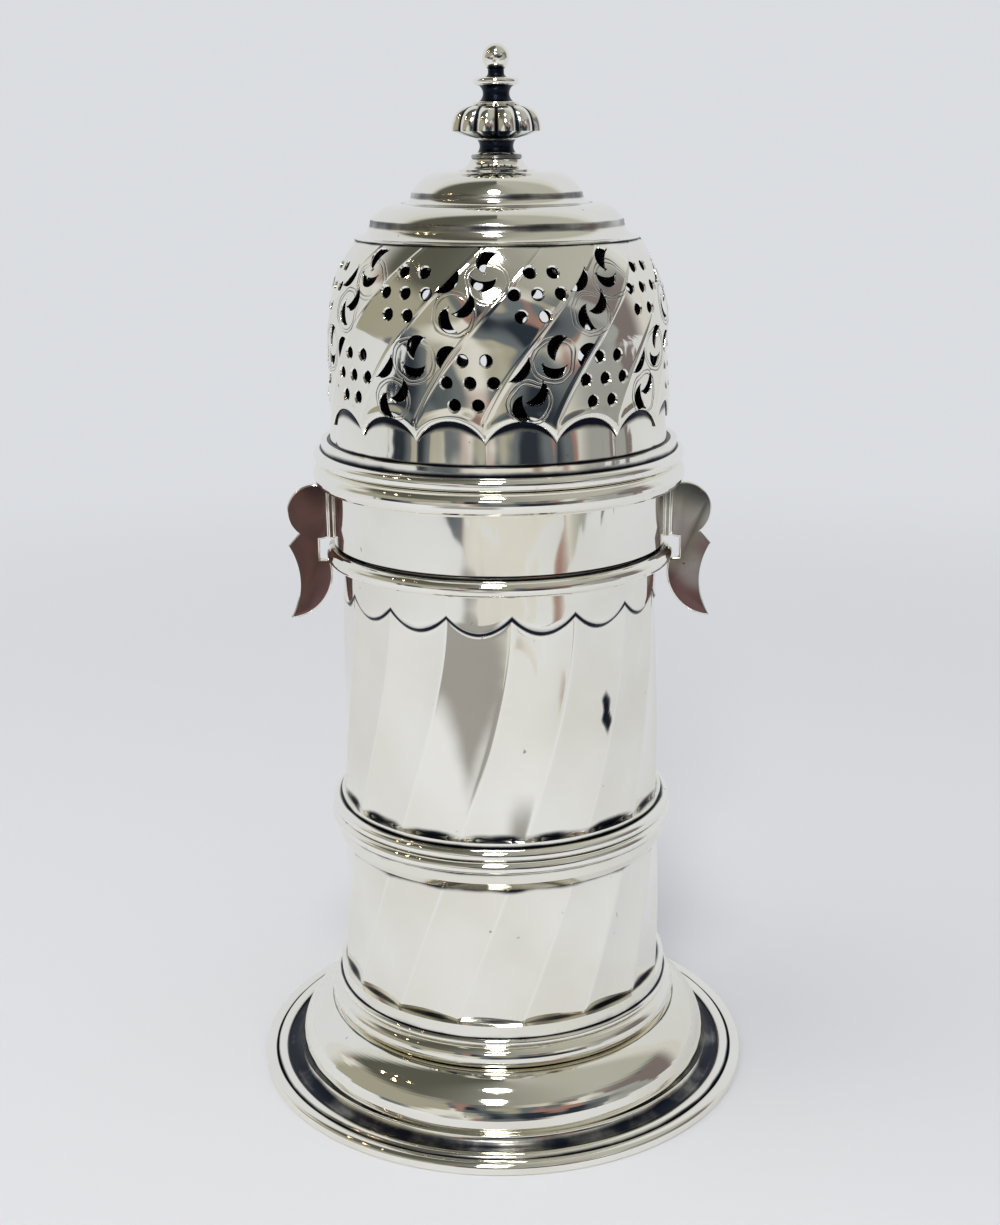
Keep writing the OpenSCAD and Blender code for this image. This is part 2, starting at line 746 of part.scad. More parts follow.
module dome() {
  color(silver) difference() {
    rotate_extrude() difference() {
      union() {
        dome_form(0);
        translate([0, dome_z]) square([dome_r, dome_rim_h]);
      }
      dome_form(dome_wall);
      square([dome_r - dome_rim_w, dome_z + dome_rim_h]);
    }
    translate([0, 0, crown_z - 2 * dome_wall]) cylinder(h = 4 * dome_wall, r = stud_r);
  }
}

/* Finial */

// A waist between two heights, hollowed to the given radius from a wider one
module waist(z, h, wide_r, waist_r) {
  hollow_r = arc_r(h, wide_r - waist_r);
  difference() {
    translate([0, z]) square([wide_r, h]);
    translate([waist_r + hollow_r, z + h / 2]) circle(hollow_r);
  }
}

module bored(z, h) {
  difference() {
    children();
    translate([0, 0, z]) cylinder(h = h, r = stud_r);
  }
}

module finial_foot() {
  foot_r = finial_foot_d / 2;
  bead_r = finial_bead_d / 2;
  color(bright) bored(crown_z - over, knop_z - crown_z + 2 * over) rotate_extrude() {
    difference() {
      translate([0, crown_z]) square([foot_r, finial_flare_h]);
      translate([foot_r, bead_z + finial_lip]) circle(finial_flare_h);
    }
    half_round(0, bead_z, bead_r, finial_bead_h);
    waist(waist_z, finial_waist_h, waist_wide_r, finial_waist_d / 2);
  }
}

// The knop's lobes, in rows from its underside to its crown
knop_segs = 6;
knop_rows = 9;
module knop_skin() {
  cols = knop_lobes * knop_segs;
  wide_r = knop_d / 2;
  low_a = -acos(waist_wide_r / wide_r);
  high_a = acos(spire_foot_d / 2 / wide_r);
  function row_a(k) = low_a + (high_a - low_a) * k / (knop_rows - 1);
  function row_z(a) = knop_wide_z + sin(a) * (a < 0 ? -knop_low_h / sin(low_a) : knop_high_h / sin(high_a));
  function lobe(i) = 1 - knop_cut * (1 - abs(sin(180 * i / knop_segs)));
  closed_skin([for (k = [0 : knop_rows - 1]) [for (i = [0 : cols - 1])
    let (r = wide_r * cos(row_a(k)) * lobe(i), t = 360 * i / cols)
    [r * cos(t), r * sin(t), row_z(row_a(k))]]]);
}

module finial_knop() {
  color(silver) bored(knop_z - over, spire_z - knop_z + 2 * over) knop_skin();
}

module finial_spire() {
  color(bright) bored(spire_z - over, stud_top_z - spire_z + over) union() {
    rotate_extrude() {
      half_round(0, spire_z, spire_foot_d / 2, spire_foot_h);
      waist(spire_neck_z, spire_neck_h, spire_neck_wide_d / 2, spire_neck_d / 2);
      half_round(0, flange_z, spire_flange_d / 2, spire_flange_h);
      translate([0, top_neck_z]) square([spire_top_d / 2, ball_z - top_neck_z]);
    }
    translate([0, 0, ball_z]) sphere(d = ball_d);
  }
}

module finial_stud() {
  color(silver) translate([0, 0, nut_z - stud_end]) cylinder(h = stud_top_z - nut_z + stud_end, r = stud_r);
}

module finial_washer() {
  color(silver) translate([0, 0, washer_z]) difference() {
    cylinder(h = washer_t, d = washer_d);
    translate([0, 0, -over]) cylinder(h = washer_t + 2 * over, r = stud_r + washer_clear);
  }
}

module finial_nut() {
  color(silver) bored(nut_z - over, nut_h + 2 * over) translate([0, 0, nut_z])
    cylinder(h = nut_h, d = nut_w, $fn = 6);
}

foot();
foot_rim();
collet();
barrel();
floor_disc();
girdle();
rim_wire();
cover_collar();
left_lug();
right_lug();
lug_straps();
cover_moulding();
pierced_drum();
dome();
finial_foot();
finial_knop();
finial_spire();
finial_stud();
finial_washer();
finial_nut();
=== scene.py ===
import math

import bmesh
import bpy
import numpy as np
from bpy.props import FloatProperty, FloatVectorProperty, IntProperty, PointerProperty
from bpy.types import Operator, Panel, PropertyGroup
from mathutils import Matrix, Vector


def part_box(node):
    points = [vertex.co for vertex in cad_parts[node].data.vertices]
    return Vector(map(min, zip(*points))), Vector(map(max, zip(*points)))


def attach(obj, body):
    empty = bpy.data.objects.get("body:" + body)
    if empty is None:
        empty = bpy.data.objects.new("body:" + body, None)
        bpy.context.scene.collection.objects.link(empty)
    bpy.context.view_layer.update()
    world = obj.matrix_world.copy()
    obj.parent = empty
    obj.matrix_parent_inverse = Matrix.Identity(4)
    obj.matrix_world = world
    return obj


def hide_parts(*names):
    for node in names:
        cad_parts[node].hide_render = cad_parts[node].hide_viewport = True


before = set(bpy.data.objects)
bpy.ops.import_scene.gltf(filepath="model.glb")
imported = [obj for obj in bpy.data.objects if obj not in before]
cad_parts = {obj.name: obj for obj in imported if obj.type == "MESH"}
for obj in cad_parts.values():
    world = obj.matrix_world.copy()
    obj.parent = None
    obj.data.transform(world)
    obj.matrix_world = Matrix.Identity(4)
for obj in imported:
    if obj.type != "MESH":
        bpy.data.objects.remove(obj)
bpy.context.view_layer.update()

bl_info = {
    "name": "Sugar caster",
    "version": (1, 0, 0),
    "blender": (4, 5, 0),
    "location": "View3D > Sidebar > Caster",
    "description": "Builds a silver sugar caster with a fluted barrel and a pierced cover",
    "category": "Object",
}

MM = 0.001

# Fineness of the turned surfaces
TURN_STEPS = 256
SECTORS = 16
REED_STEPS = 16
SWELL_STEPS = 24
FLUTE_STEPS = 32
BAND_STEPS = 36
LOBE_STEPS = 24
# How far from the ends of a straight stretch it gets more points, and how many times as long it has to be
SUPPORT, WIDE_SUPPORT, SUPPORTED_RUN = 0.06 * MM, 0.36 * MM, 4
# Points closer than this are one
WELD = SUPPORT / 100
# Edges sharper than this are shaded sharp
SHARP = math.radians(32)
# A face larger than this is a flat one, and is shaded flat
FLAT_AREA = 20 * MM * MM
# Climb of the surface beside a vertex over which a groove sets in, and fall over which an edge does
GROOVE_CLIMB, EDGE_FALL = (0.16, 0.4), (0.03, 0.12)
# Rounds in which the tarnish creeps from vertex to vertex, and the least distance between two of them
CREEP_ROUNDS, LEAST_RUN = 10, 1e-9


def length(name, description, millimetres):
    """A length property whose default is given in millimetres."""
    return FloatProperty(name=name, description=description, default=millimetres * MM, unit="LENGTH",
                         precision=5)


def number(name, description, default):
    """A property for a count, if its default is a whole number, or for a plain value."""
    kind = IntProperty if isinstance(default, int) else FloatProperty
    return kind(name=name, description=description, default=default)


def colour(name, description, rgb):
    """A colour property."""
    return FloatVectorProperty(name=name, description=description, default=rgb, subtype="COLOR", min=0, max=1)


class CasterSizes(PropertyGroup):
    """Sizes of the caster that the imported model's boxes don't give"""

    foot_wall: length("Foot wall", "Thickness of the foot's sheet", 0.9)
    foot_cove: length("Foot hollow", "Radius of the hollow under the foot's swell", 1.9)
    tread_h: length("Tread height", "Height of the tread above the table", 1.3)
    tread_w: length("Tread width", "Width of the tread round the hollow", 2.9)
    bead_w: length("Bead width", "Width of the bead on the tread", 2.0)
    bead_h: length("Bead height", "Height of the bead on the tread", 0.8)
    rim_face_h: length("Rim face", "Height of the foot rim's upright face", 1.2)
    seat_in_r: length("Seat radius", "Radius of the opening in the foot's seat", 21.1)
    torus_h: length("Torus height", "Height of the torus on the foot", 4.0)
    collet_reed_h: length("Collet reed", "Height of the reed above the torus", 1.3)
    collet_fillet_out: length("Collet fillet", "How far the collet's fillet stands out from the barrel", 0.8)

    neck_r: length("Neck radius", "Outside of the neck and of the plain band", 27.1)
    barrel_flare: length("Barrel flare", "Growth of the barrel's radius down to the foot", 1.8)
    barrel_wall: length("Barrel wall", "Thickness of the neck and behind the flutes", 0.7)
    flute_count: number("Flutes", "Number of flutes round the barrel", 16)
    flute_depth: length("Flute depth", "Depth of a flute at its middle", 0.6)
    flute_lean: number("Flute lean", "Lean of a flute, in degrees per metre", 780.0)
    flute_ease: length("Flute ease", "Height over which a flute turns into its lean", 20)
    flute_turn: number("Flute turn", "Turn of the flutes as a whole, in degrees", 4.0)
    flute_soft: number("Arris softness", "Roundness of the arrises, as a share", 0.1)
    plain_band: length("Plain band", "Band between the rim wire and the tips of the flutes", 3.4)
    scallop_drop: length("Scallop drop", "Drop of a scallop below its tips", 2.7)
    scallop_slope: length("Scallop slope", "Height over which a flute sinks to its depth", 1.2)

    girdle_apron_h: length("Girdle apron", "Height of the girdle's sloping edge", 1.4)
    girdle_step_h: length("Girdle step", "Height of the girdle's flat step", 1.7)
    girdle_low_h: length("Girdle low reed", "Height of the girdle's lower reed", 2.2)
    girdle_high_h: length("Girdle high reed", "Height of the girdle's upper reed", 2.0)
    girdle_lip_out: length("Girdle lip", "How far the girdle's edge stands out from the barrel", 0.7)
    girdle_out: length("Girdle step out", "How far the girdle's step stands out from the barrel", 1.35)
    girdle_high_back: length("Girdle set-back", "How far the upper reed stands behind the lower one", 0.3)
    girdle_fillet_out: length("Girdle fillet", "How far the girdle's fillet stands out from the barrel", 0.45)
    notch_w: length("Notch width", "Width of the notches in the rim wire", 5.0)

    collar_wall: length("Collar wall", "Thickness of the collar", 1.1)
    collar_chamfer: length("Collar chamfer", "Chamfer of the collar's lower edge", 0.37)
    lug_bevel: length("Lug bevel", "Width of the rounded edges of the lugs", 0.28)
    cover_low_h: length("Moulding low reed", "Height of the cover moulding's lower reed", 4.2)
    cover_high_h: length("Moulding high reed", "Height of the cover moulding's upper reed", 2.2)
    cover_high_back: length("Moulding set-back", "How far the upper reed stands behind the lower one", 0.15)
    cover_fillet_out: length("Moulding fillet", "How far the fillet stands out from the drum", 1.0)

    drum_taper: length("Drum taper", "How much the drum's side draws in up to the shoulder", 0.7)
    drum_side_h: length("Drum side", "Height of the drum's side above the moulding", 18)
    drum_wall: length("Drum wall", "Thickness of the drum", 1.0)
    band_pairs: number("Band pairs", "Number of pierced bands of each kind", 8)
    band_turn: number("Band turn", "Turn of the bands as a whole, in degrees", -18.0)
    band_lean: number("Band lean", "Lean at a band's foot, in degrees per metre", 700.0)
    band_curl: number("Band curl", "Growth of the lean, in degrees per square metre", 30000.0)
    band_hollow: length("Band hollow", "Depth of a band at its middle", 0.15)
    rib_w: length("Rib width", "Width of the rib between two bands", 0.9)
    rib_h: length("Rib height", "Height of the rib between two bands", 0.1)
    arch_tip_h: length("Arch tips", "Height of the tips between the arches above the moulding", 3.5)
    arch_rise: length("Arch rise", "Rise of an arch above the tips", 3.3)
    arch_roll: length("Arch roll", "Width of the rounded edge over an arch", 1.2)
    arch_step: length("Arch step", "Depth to which the rounded edge falls", 0.5)
    # The arch shade is painted shade, with some tarnish, under the top of an arch
    arch_shade: length("Arch shade", "Depth of the tarnish under the top of an arch", 2.0)
    panel_drop: length("Panel depth", "Depth of the valleys between the arched panels", 0.8)
    panel_bulge: length("Panel bulge", "How far a panel swells at its middle", 0.25)
    hole_r: length("Hole radius", "Radius of a round hole", 0.9)
    hole_pitch: length("Hole pitch", "Distance between the holes of a row", 3.7)
    hole_row: length("Row distance", "Distance between the rows of holes", 3.4)
    row_follow: number("Row follow", "Share of the lean that the rows follow", 0.3)
    low_motif_h: length("Lower motif", "Height of the lower motif above the moulding", 12.8)
    high_motif_drop: length("Upper motif", "Depth of the upper motif below the dome", 6.8)
    scroll_r: length("Scroll size", "Radius that the scrollwork is measured in", 1.85)
    cut_bevel: length("Cut bevel", "Width of the bright bevel round a cut", 0.22)

    dome_wall: length("Dome wall", "Thickness of the dome", 0.8)
    dome_rim_w: length("Dome rim width", "Width of the flat rim on which the dome sits", 2.4)
    dome_rim_h: length("Dome rim", "Height of the dome's rim", 0.3)
    low_cove: length("Low hollow", "Radius of the lower hollow", 2.6)
    low_swell_w: length("Low swell width", "Width of the lower swell", 4.8)
    low_swell_h: length("Low swell height", "Height of the lower swell", 2.75)
    dome_ledge_w: length("Ledge", "Width of the ledge between the steps", 0.5)
    high_cove: length("High hollow", "Radius of the upper hollow", 1.5)
    high_swell_w: length("High swell width", "Width of the upper swell", 5.4)

    finial_flare_h: length("Flare height", "Height of the flare of the finial's foot", 1.9)
    finial_lip: length("Flare lip", "Height of the edge of the finial's foot", 0.3)
    finial_bead_r: length("Finial bead", "Radius of the bead above the flare", 4.15)
    finial_bead_h: length("Finial bead height", "Height of the bead above the flare", 0.8)
    waist_r: length("Waist", "Radius of the finial's waist", 2.75)
    waist_wide_r: length("Waist ends", "Radius of the waist at its ends", 3.45)
    knop_low_h: length("Knop underside", "Height of the knop's underside", 1.1)
    knop_r: length("Knop", "Radius of the knop over its lobes", 7.5)
    knop_lobes: number("Lobes", "Number of lobes on the knop", 12)
    knop_cut: number("Lobe cut", "Depth of the valleys, as a share of the radius", 0.12)
    knop_full: number("Knop fullness", "Power of the knop's crown, under 1 for a full one", 0.35)
    spire_foot_r: length("Spire collar", "Radius of the collar on the knop", 3.8)
    spire_foot_h: length("Spire collar height", "Height of the collar on the knop", 0.6)
    spire_neck_h: length("Spire neck height", "Height of the spire's neck", 2.5)
    spire_neck_r: length("Spire neck", "Radius of the spire's neck", 2.15)
    spire_neck_wide_r: length("Spire neck ends", "Radius of the spire's neck at its ends", 2.8)
    flange_h: length("Flange height", "Height of the spire's flange", 1.2)
    top_neck_r: length("Top neck", "Radius of the neck under the ball", 1.3)
    top_cove: length("Top neck flare", "Radius of the hollow at the foot of the neck under the ball", 0.8)
    ball_r: length("Ball", "Radius of the ball", 2.2)
    stud_r: length("Stud", "Radius of the stud", 0.9)
    fixing_bevel: length("Fixing bevel", "Width of the broken edges of nut and washer", 0.12)


class CasterFinish(PropertyGroup):
    """Colours and wear of the silver, and the colours of its painted shade"""

    silver: colour("Silver", "Colour of the polished silver", (0.95, 0.938, 0.88))
    # This colour darkens the tarnish and also all the painted shade that the pieces' marks add
    tarnish: colour("Tarnish", "Colour of the tarnish in the grooves", (0.012, 0.016, 0.028))
    film: colour("Film", "Tint of the thin warm film on the silver", (0.9, 0.88, 0.825))
    stain: colour("Stain", "Colour of the stained faces of the lugs", (0.16, 0.092, 0.087))
    cleared: colour("Cleared", "Colour of the lugs where the stain is thin", (0.36, 0.35, 0.32))
    dull: colour("Dull silver", "Colour of the unpolished silver", (0.62, 0.60, 0.56))
    # Near black: painted shade on the inside of the drum and the walls of its cuts, with some tarnish
    inside: colour("Inside", "Colour of the dark inside of the pierced drum", (0.02, 0.02, 0.028))
    roughness: number("Roughness", "Roughness of the polished silver", 0.035)
    spread: length("Tarnish spread", "How far the tarnish creeps out of a groove", 0.48)
    floor: colour("Floor", "Colour of the floor and the backdrop", (0.705, 0.722, 0.75))


def arc(mid_r, mid_z, radius, start, stop, steps):
    """Points of an arc in a turned section, between two angles in degrees."""
    return [(mid_r + radius * math.cos(a), mid_z + radius * math.sin(a))
            for a in np.radians(np.linspace(start, stop, steps + 1))]


def half_round(out_r, low_z, height):
    """Points of the outer half of a wire, from its foot to its top."""
    return arc(out_r - height / 2, low_z + height / 2, height / 2, -90, 90, REED_STEPS)


def sagitta_radius(chord, sag):
    """Radius of the arc with that chord and height."""
    return (chord * chord / 4 + sag * sag) / (2 * sag)


def swell_centre(low_r, top_r, rise):
    """Radius of the centre of a swell that starts upright at one radius and rises to a smaller one."""
    return (low_r ** 2 - top_r ** 2 - rise ** 2) / (2 * (low_r - top_r))


def low_bead(in_r, low_z, width, height):
    """Points of a low bead on a level face, from its inside to its outside."""
    radius = sagitta_radius(width, height)
    lift = math.degrees(math.asin((radius - height) / radius))
    return arc(in_r + width / 2, low_z + height - radius, radius, 180 - lift, lift, REED_STEPS)


def waist(low_z, height, wide_r, thin_r):
    """Points of a hollowed neck, from its foot to its top."""
    radius = sagitta_radius(height, wide_r - thin_r)
    swing = math.degrees(math.asin(height / 2 / radius))
    return arc(thin_r + radius, low_z + height / 2, radius, 180 + swing, 180 - swing, REED_STEPS)


def supported(points, closed, supports):
    """The points of a section, with more near the ends of its straight stretches, which keep them flat."""
    out = []
    for a, b in zip(points, points[1:] + points[:1]):
        out.append(a)
        run = math.dist(a, b)
        if closed or b is not points[0]:
            shares = [support / run for support in supports if run > SUPPORTED_RUN * support]
            for share in shares + [1 - share for share in reversed(shares)]:
                out.append(tuple(p + (q - p) * share for p, q in zip(a, b)))
    return out


def turned(points, steps=TURN_STEPS, closed=True, start=0.0, sweep=360.0, supports=(SUPPORT, WIDE_SUPPORT)):
    """A bmesh of a section of (radius, height) points spun round the axis, from an angle in degrees."""
    bm = bmesh.new()
    way = Vector((math.cos(math.radians(start)), math.sin(math.radians(start)), 0))
    verts = [bm.verts.new(way * r + Vector((0, 0, z))) for r, z in supported(points, closed, supports)]
    edges = [bm.edges.new(pair) for pair in zip(verts, verts[1:])]
    if closed:
        edges.append(bm.edges.new((verts[-1], verts[0])))
    whole = sweep >= 360
    sectors = math.gcd(steps, SECTORS) if whole else 1
    part = math.radians(sweep / sectors)
    round_axis = {"cent": (0, 0, 0), "axis": (0, 0, 1)}
    bmesh.ops.spin(bm, geom=verts + edges, angle=part, steps=steps // sectors, **round_axis)
    if whole:
        bmesh.ops.spin(bm, geom=bm.verts[:] + bm.edges[:] + bm.faces[:], angle=part * (sectors - 1),
                       steps=sectors - 1, use_duplicate=True, **round_axis)
        bmesh.ops.remove_doubles(bm, verts=bm.verts[:], dist=WELD)
    else:
        bmesh.ops.holes_fill(bm, edges=[e for e in bm.edges if e.is_boundary], sides=0)
    bmesh.ops.recalc_face_normals(bm, faces=bm.faces[:])
    return bm


def rod(node, steps):
    """A bmesh of a plain round bar or disc that fills a CAD node's box."""
    low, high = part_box(node)
    bm = bmesh.new()
    bmesh.ops.create_cone(bm, cap_ends=True, segments=steps, radius1=high.x, radius2=high.x,
                          depth=high.z - low.z, matrix=Matrix.Translation((0, 0, (low.z + high.z) / 2)))
    return bm


def from_axis(co):
    """Distances of points from the axis."""
    return np.hypot(co[:, 0], co[:, 1])


def front_turn(co):
    """Turns of points to the right of the front, in radians."""
    return np.arctan2(co[:, 0], -co[:, 1])


def polar(bm):
    """Angles in degrees, radii and heights of a bmesh's vertices, in their order."""
    co = np.array([v.co for v in bm.verts])
    return np.degrees(np.arctan2(co[:, 1], co[:, 0])), from_axis(co), co[:, 2]


def set_polar(bm, angle, radius, height):
    """Moves a bmesh's vertices to those angles in degrees, radii and heights."""
    turn = np.radians(angle)
    for v, x, y, z in zip(bm.verts, radius * np.cos(turn), radius * np.sin(turn), height):
        v.co = (x, y, z)
    bmesh.ops.recalc_face_normals(bm, faces=bm.faces[:])


def ramp(value, low, high):
    """A smooth step from 0 at low to 1 at high."""
    t = np.clip((value - low) / (high - low), 0, 1)
    return t * t * (3 - 2 * t)


def line_at(distance, half, strength=1.0, most=1.0):
    """Darkness at a distance from the middle of a line, which falls by 1 over half its width."""
    return np.clip(strength - np.abs(distance) / half, 0, most)


def groove_and_edge(mesh, spread):
    """How far each vertex lies in a groove, falling off over the spread, and on an edge, and its place."""
    count = len(mesh.vertices)
    co, normal = np.empty(count * 3, np.float32), np.empty(count * 3, np.float32)
    ends = np.empty(len(mesh.edges) * 2, np.int32)
    mesh.vertices.foreach_get("co", co)
    mesh.vertices.foreach_get("normal", normal)
    mesh.edges.foreach_get("vertices", ends)
    co, normal, ends = co.reshape(-1, 3), normal.reshape(-1, 3), ends.reshape(-1, 2)
    first, last = ends[:, 0], ends[:, 1]
    step = co[last] - co[first]
    run = np.maximum(np.linalg.norm(step, axis=1), LEAST_RUN)
    way = step / run[:, None]
    rise, fall = np.full(count, -1.0), np.full(count, -1.0)
    for end, sign in ((first, 1), (last, -1)):
        climb = sign * (normal[end] * way).sum(axis=1)
        np.maximum.at(rise, end, climb)
        np.maximum.at(fall, end, -climb)
    mask = ramp(rise, *GROOVE_CLIMB)
    edge = ramp(fall - np.clip(rise, 0, None), *EDGE_FALL)
    for _ in range(CREEP_ROUNDS):
        np.maximum.at(mask, last, mask[first] - run / spread)
        np.maximum.at(mask, first, mask[last] - run / spread)
    return np.clip(mask, 0, 1), edge, co


def mesh_from(bm, name):
    """A mesh of that name from a bmesh, which is freed."""
    mesh = bpy.data.meshes.new(name)
    bm.to_mesh(mesh)
    bm.free()
    return mesh


def linked(context, name, data):
    """A new object with that data, linked to the scene."""
    thing = bpy.data.objects.new(name, data)
    context.scene.collection.objects.link(thing)
    return thing


def add_piece(context, name, bm, body, nodes, materials, marks=None, creep=1.0):
    """Makes a piece from a bmesh, paints its grooves and its marks, some of them painted shade, and hangs it
    on a body in place of CAD nodes.
    """
    smooth_faces = [face.calc_area() < FLAT_AREA for face in bm.faces]
    mesh = mesh_from(bm, name)
    mesh.polygons.foreach_set("use_smooth", smooth_faces)
    mesh.set_sharp_from_angle(angle=SHARP)
    mask, edge, co = groove_and_edge(mesh, creep * context.scene.caster_finish.spread)
    if marks is not None:
        mask = np.maximum(mask, marks(co))
    # The first attribute holds the grooves' tarnish together with the marks, much of which is painted shade
    for title, values in (("tarnish", mask), ("wear", edge)):
        mesh.attributes.new(title, "FLOAT", "POINT").data.foreach_set("value", values.astype(np.float32))
    for material in materials:
        mesh.materials.append(material)
    piece = linked(context, name, mesh)
    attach(piece, body)
    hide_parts(*nodes)


def polished_piece(context, name, bm, body, node, marks=None, creep=1.0):
    """Makes a piece of polished silver in place of one CAD node."""
    add_piece(context, name, bm, body, [node], (polished(context),), marks, creep)


def dull_piece(context, name, bm, body, node):
    """Makes a piece of unpolished silver in place of one CAD node."""
    add_piece(context, name, bm, body, [node], (dull(context),))


def wired(tree, kind, inputs, **settings):
    """A new node with its settings and inputs, whose values are sockets to link or plain values."""
    node = tree.nodes.new(kind)
    for key, value in settings.items():
        setattr(node, key, value)
    for key, value in inputs.items():
        if isinstance(value, bpy.types.NodeSocket):
            tree.links.new(value, node.inputs[key])
        else:
            node.inputs[key].default_value = value
    return node


def maths(tree, operation, *values):
    """The result of a Math node."""
    return wired(tree, "ShaderNodeMath", dict(enumerate(values)), operation=operation).outputs[0]


def vector(tree, operation, *values):
    """The result of a Vector Math node."""
    return wired(tree, "ShaderNodeVectorMath", dict(enumerate(values)), operation=operation).outputs[0]


def span(tree, a, b):
    """The square root of the sum of two squares."""
    squares = [maths(tree, "MULTIPLY", value, value) for value in (a, b)]
    return maths(tree, "SQRT", maths(tree, "ADD", *squares))


def smooth(tree, value, low, high, to_low=0.0, to_high=1.0):
    """The result of a smooth Map Range node."""
    inputs = {"Value": value, "From Min": low, "From Max": high, "To Min": to_low, "To Max": to_high}
    return wired(tree, "ShaderNodeMapRange", inputs, interpolation_type="SMOOTHSTEP").outputs[0]


def noise(tree, place, scale, detail, distortion=0.0):
    """The outputs of a noise texture."""
    inputs = {"Vector": place, "Scale": scale, "Detail": detail, "Distortion": distortion}
    return wired(tree, "ShaderNodeTexNoise", inputs).outputs


def blend(tree, factor, a, b, kind="MIX"):
    """The colour between a and b, or another blend of them."""
    node = wired(tree, "ShaderNodeMix", {}, data_type="RGBA", blend_type=kind)
    for socket, value in ((node.inputs[0], factor), (node.inputs[6], a), (node.inputs[7], b)):
        if isinstance(value, bpy.types.NodeSocket):
            tree.links.new(value, socket)
        else:
            socket.default_value = value if isinstance(value, float) else (*value, 1.0)
    return node.outputs[2]


def value_sockets(*titles):
    """Titles and kinds of a group's plain values."""
    return tuple((title, "NodeSocketFloat") for title in titles)


def new_group(name, inputs, outputs):
    """A node group with its ends."""
    group = bpy.data.node_groups.new(name, "ShaderNodeTree")
    for title, kind in inputs:
        group.interface.new_socket(title, in_out="INPUT", socket_type=kind)
    for title, kind in outputs:
        group.interface.new_socket(title, in_out="OUTPUT", socket_type=kind)
    return group, group.nodes.new("NodeGroupInput"), group.nodes.new("NodeGroupOutput")


# Scale and detail of the clouds that break up the tarnish and the painted shade, of its specks and of the
# thin film
CLOUDS, SPECKS, FOG = (130.0, 4.0), (620.0, 1.0), (45.0, 3.0)
# How far the clouds shift the tarnish and the painted shade, and the ranges over which they darken and set in
RAGGED, TARNISH_FADE, TARNISH_START = 0.7, (0.25, 0.8), (0.0, 0.2)
# Darkness of the engraved lines and the specks, and the range over which a speck darkens
LINE_DARK, SPECK_DARK, SPECK_RANGE = 0.8, 0.6, (0.76, 0.84)
# The range over which the film thickens, and its share at either end
FILM_RANGE, FILM_LEAST, FILM_MOST = (0.35, 0.75), 0.15, 0.95
# What the film, and the tarnish with the painted shade, add to the roughness
FILM_ROUGH, TARNISH_ROUGH = 0.025, 0.3
# Strength and depth of the dents and the engraved lines
RELIEF, RELIEF_DEPTH = 0.35, 0.12 * MM


def worn_group(finish):
    """Node group: colour, roughness and normal of silver that is worn, tarnished and darkened by painted
    shade, from the metal's colour and a mask of tarnish and painted shade.
    """
    found = bpy.data.node_groups.get("worn silver")
    if found:
        return found
    group, ends, out = new_group(
        "worn silver",
        (("Metal", "NodeSocketColor"), *value_sockets("Tarnish", "Engraving", "Roughness", "Dents", "Wear")),
        (("Color", "NodeSocketColor"), ("Roughness", "NodeSocketFloat"), ("Normal", "NodeSocketVector")))
    given = ends.outputs
    place = group.nodes.new("ShaderNodeTexCoord").outputs["Object"]
    cloud, speck, fog = (noise(group, place, *kind)["Fac"] for kind in (CLOUDS, SPECKS, FOG))
    # The mask darkens the silver alike for tarnish and for painted shade
    ragged = maths(group, "MULTIPLY_ADD", maths(group, "SUBTRACT", cloud, 0.5), RAGGED, given["Tarnish"])
    started = smooth(group, given["Tarnish"], *TARNISH_START)
    dark = maths(group, "MULTIPLY", smooth(group, ragged, *TARNISH_FADE), started)
    dark = maths(group, "MAXIMUM", dark, maths(group, "MULTIPLY", given["Engraving"], LINE_DARK))
    dark = maths(group, "MAXIMUM", dark, smooth(group, speck, *SPECK_RANGE, 0.0, SPECK_DARK))
    film = smooth(group, fog, *FILM_RANGE, FILM_LEAST, FILM_MOST)
    film = maths(group, "MULTIPLY", film, maths(group, "SUBTRACT", 1.0, given["Wear"]))
    metal = blend(group, film, given["Metal"], finish.film, "MULTIPLY")
    rough = maths(group, "MULTIPLY_ADD", fog, FILM_ROUGH, given["Roughness"])
    relief = maths(group, "SUBTRACT", maths(group, "MULTIPLY", fog, given["Dents"]), given["Engraving"])
    bump = wired(group, "ShaderNodeBump", {"Strength": RELIEF, "Distance": RELIEF_DEPTH, "Height": relief})
    group.links.new(blend(group, dark, metal, finish.tarnish), out.inputs["Color"])
    group.links.new(maths(group, "MULTIPLY_ADD", dark, TARNISH_ROUGH, rough), out.inputs["Roughness"])
    group.links.new(bump.outputs["Normal"], out.inputs["Normal"])
    return group


# Circles engraved in double lines round the scrollwork of one pair of bands: turn in degrees, height,
# stretch and radius
CIRCLES = ((9.8, 124.5 * MM, 1.0, 3.2 * MM), (17.5, 131 * MM, 1.0, 3.4 * MM),
           (31, 137.8 * MM, 1.03, 3.3 * MM), (41.5, 142.6 * MM, 1.1, 3.1 * MM))
# Half the width of a line, how many of them it stands from the circle, and the range over which it fades
CIRCLE_LINE, DOUBLE, LINE_FADE = 0.15 * MM, 1.8, (0.2, 1.0)
# Scale and detail of the hand's movement, how far it wavers, and how unevenly it presses
HAND, WAVER = (170.0, 2.0), 2 * MM
PRESS_RANGE, PRESS_LEAST = (0.36, 0.56), 0.25


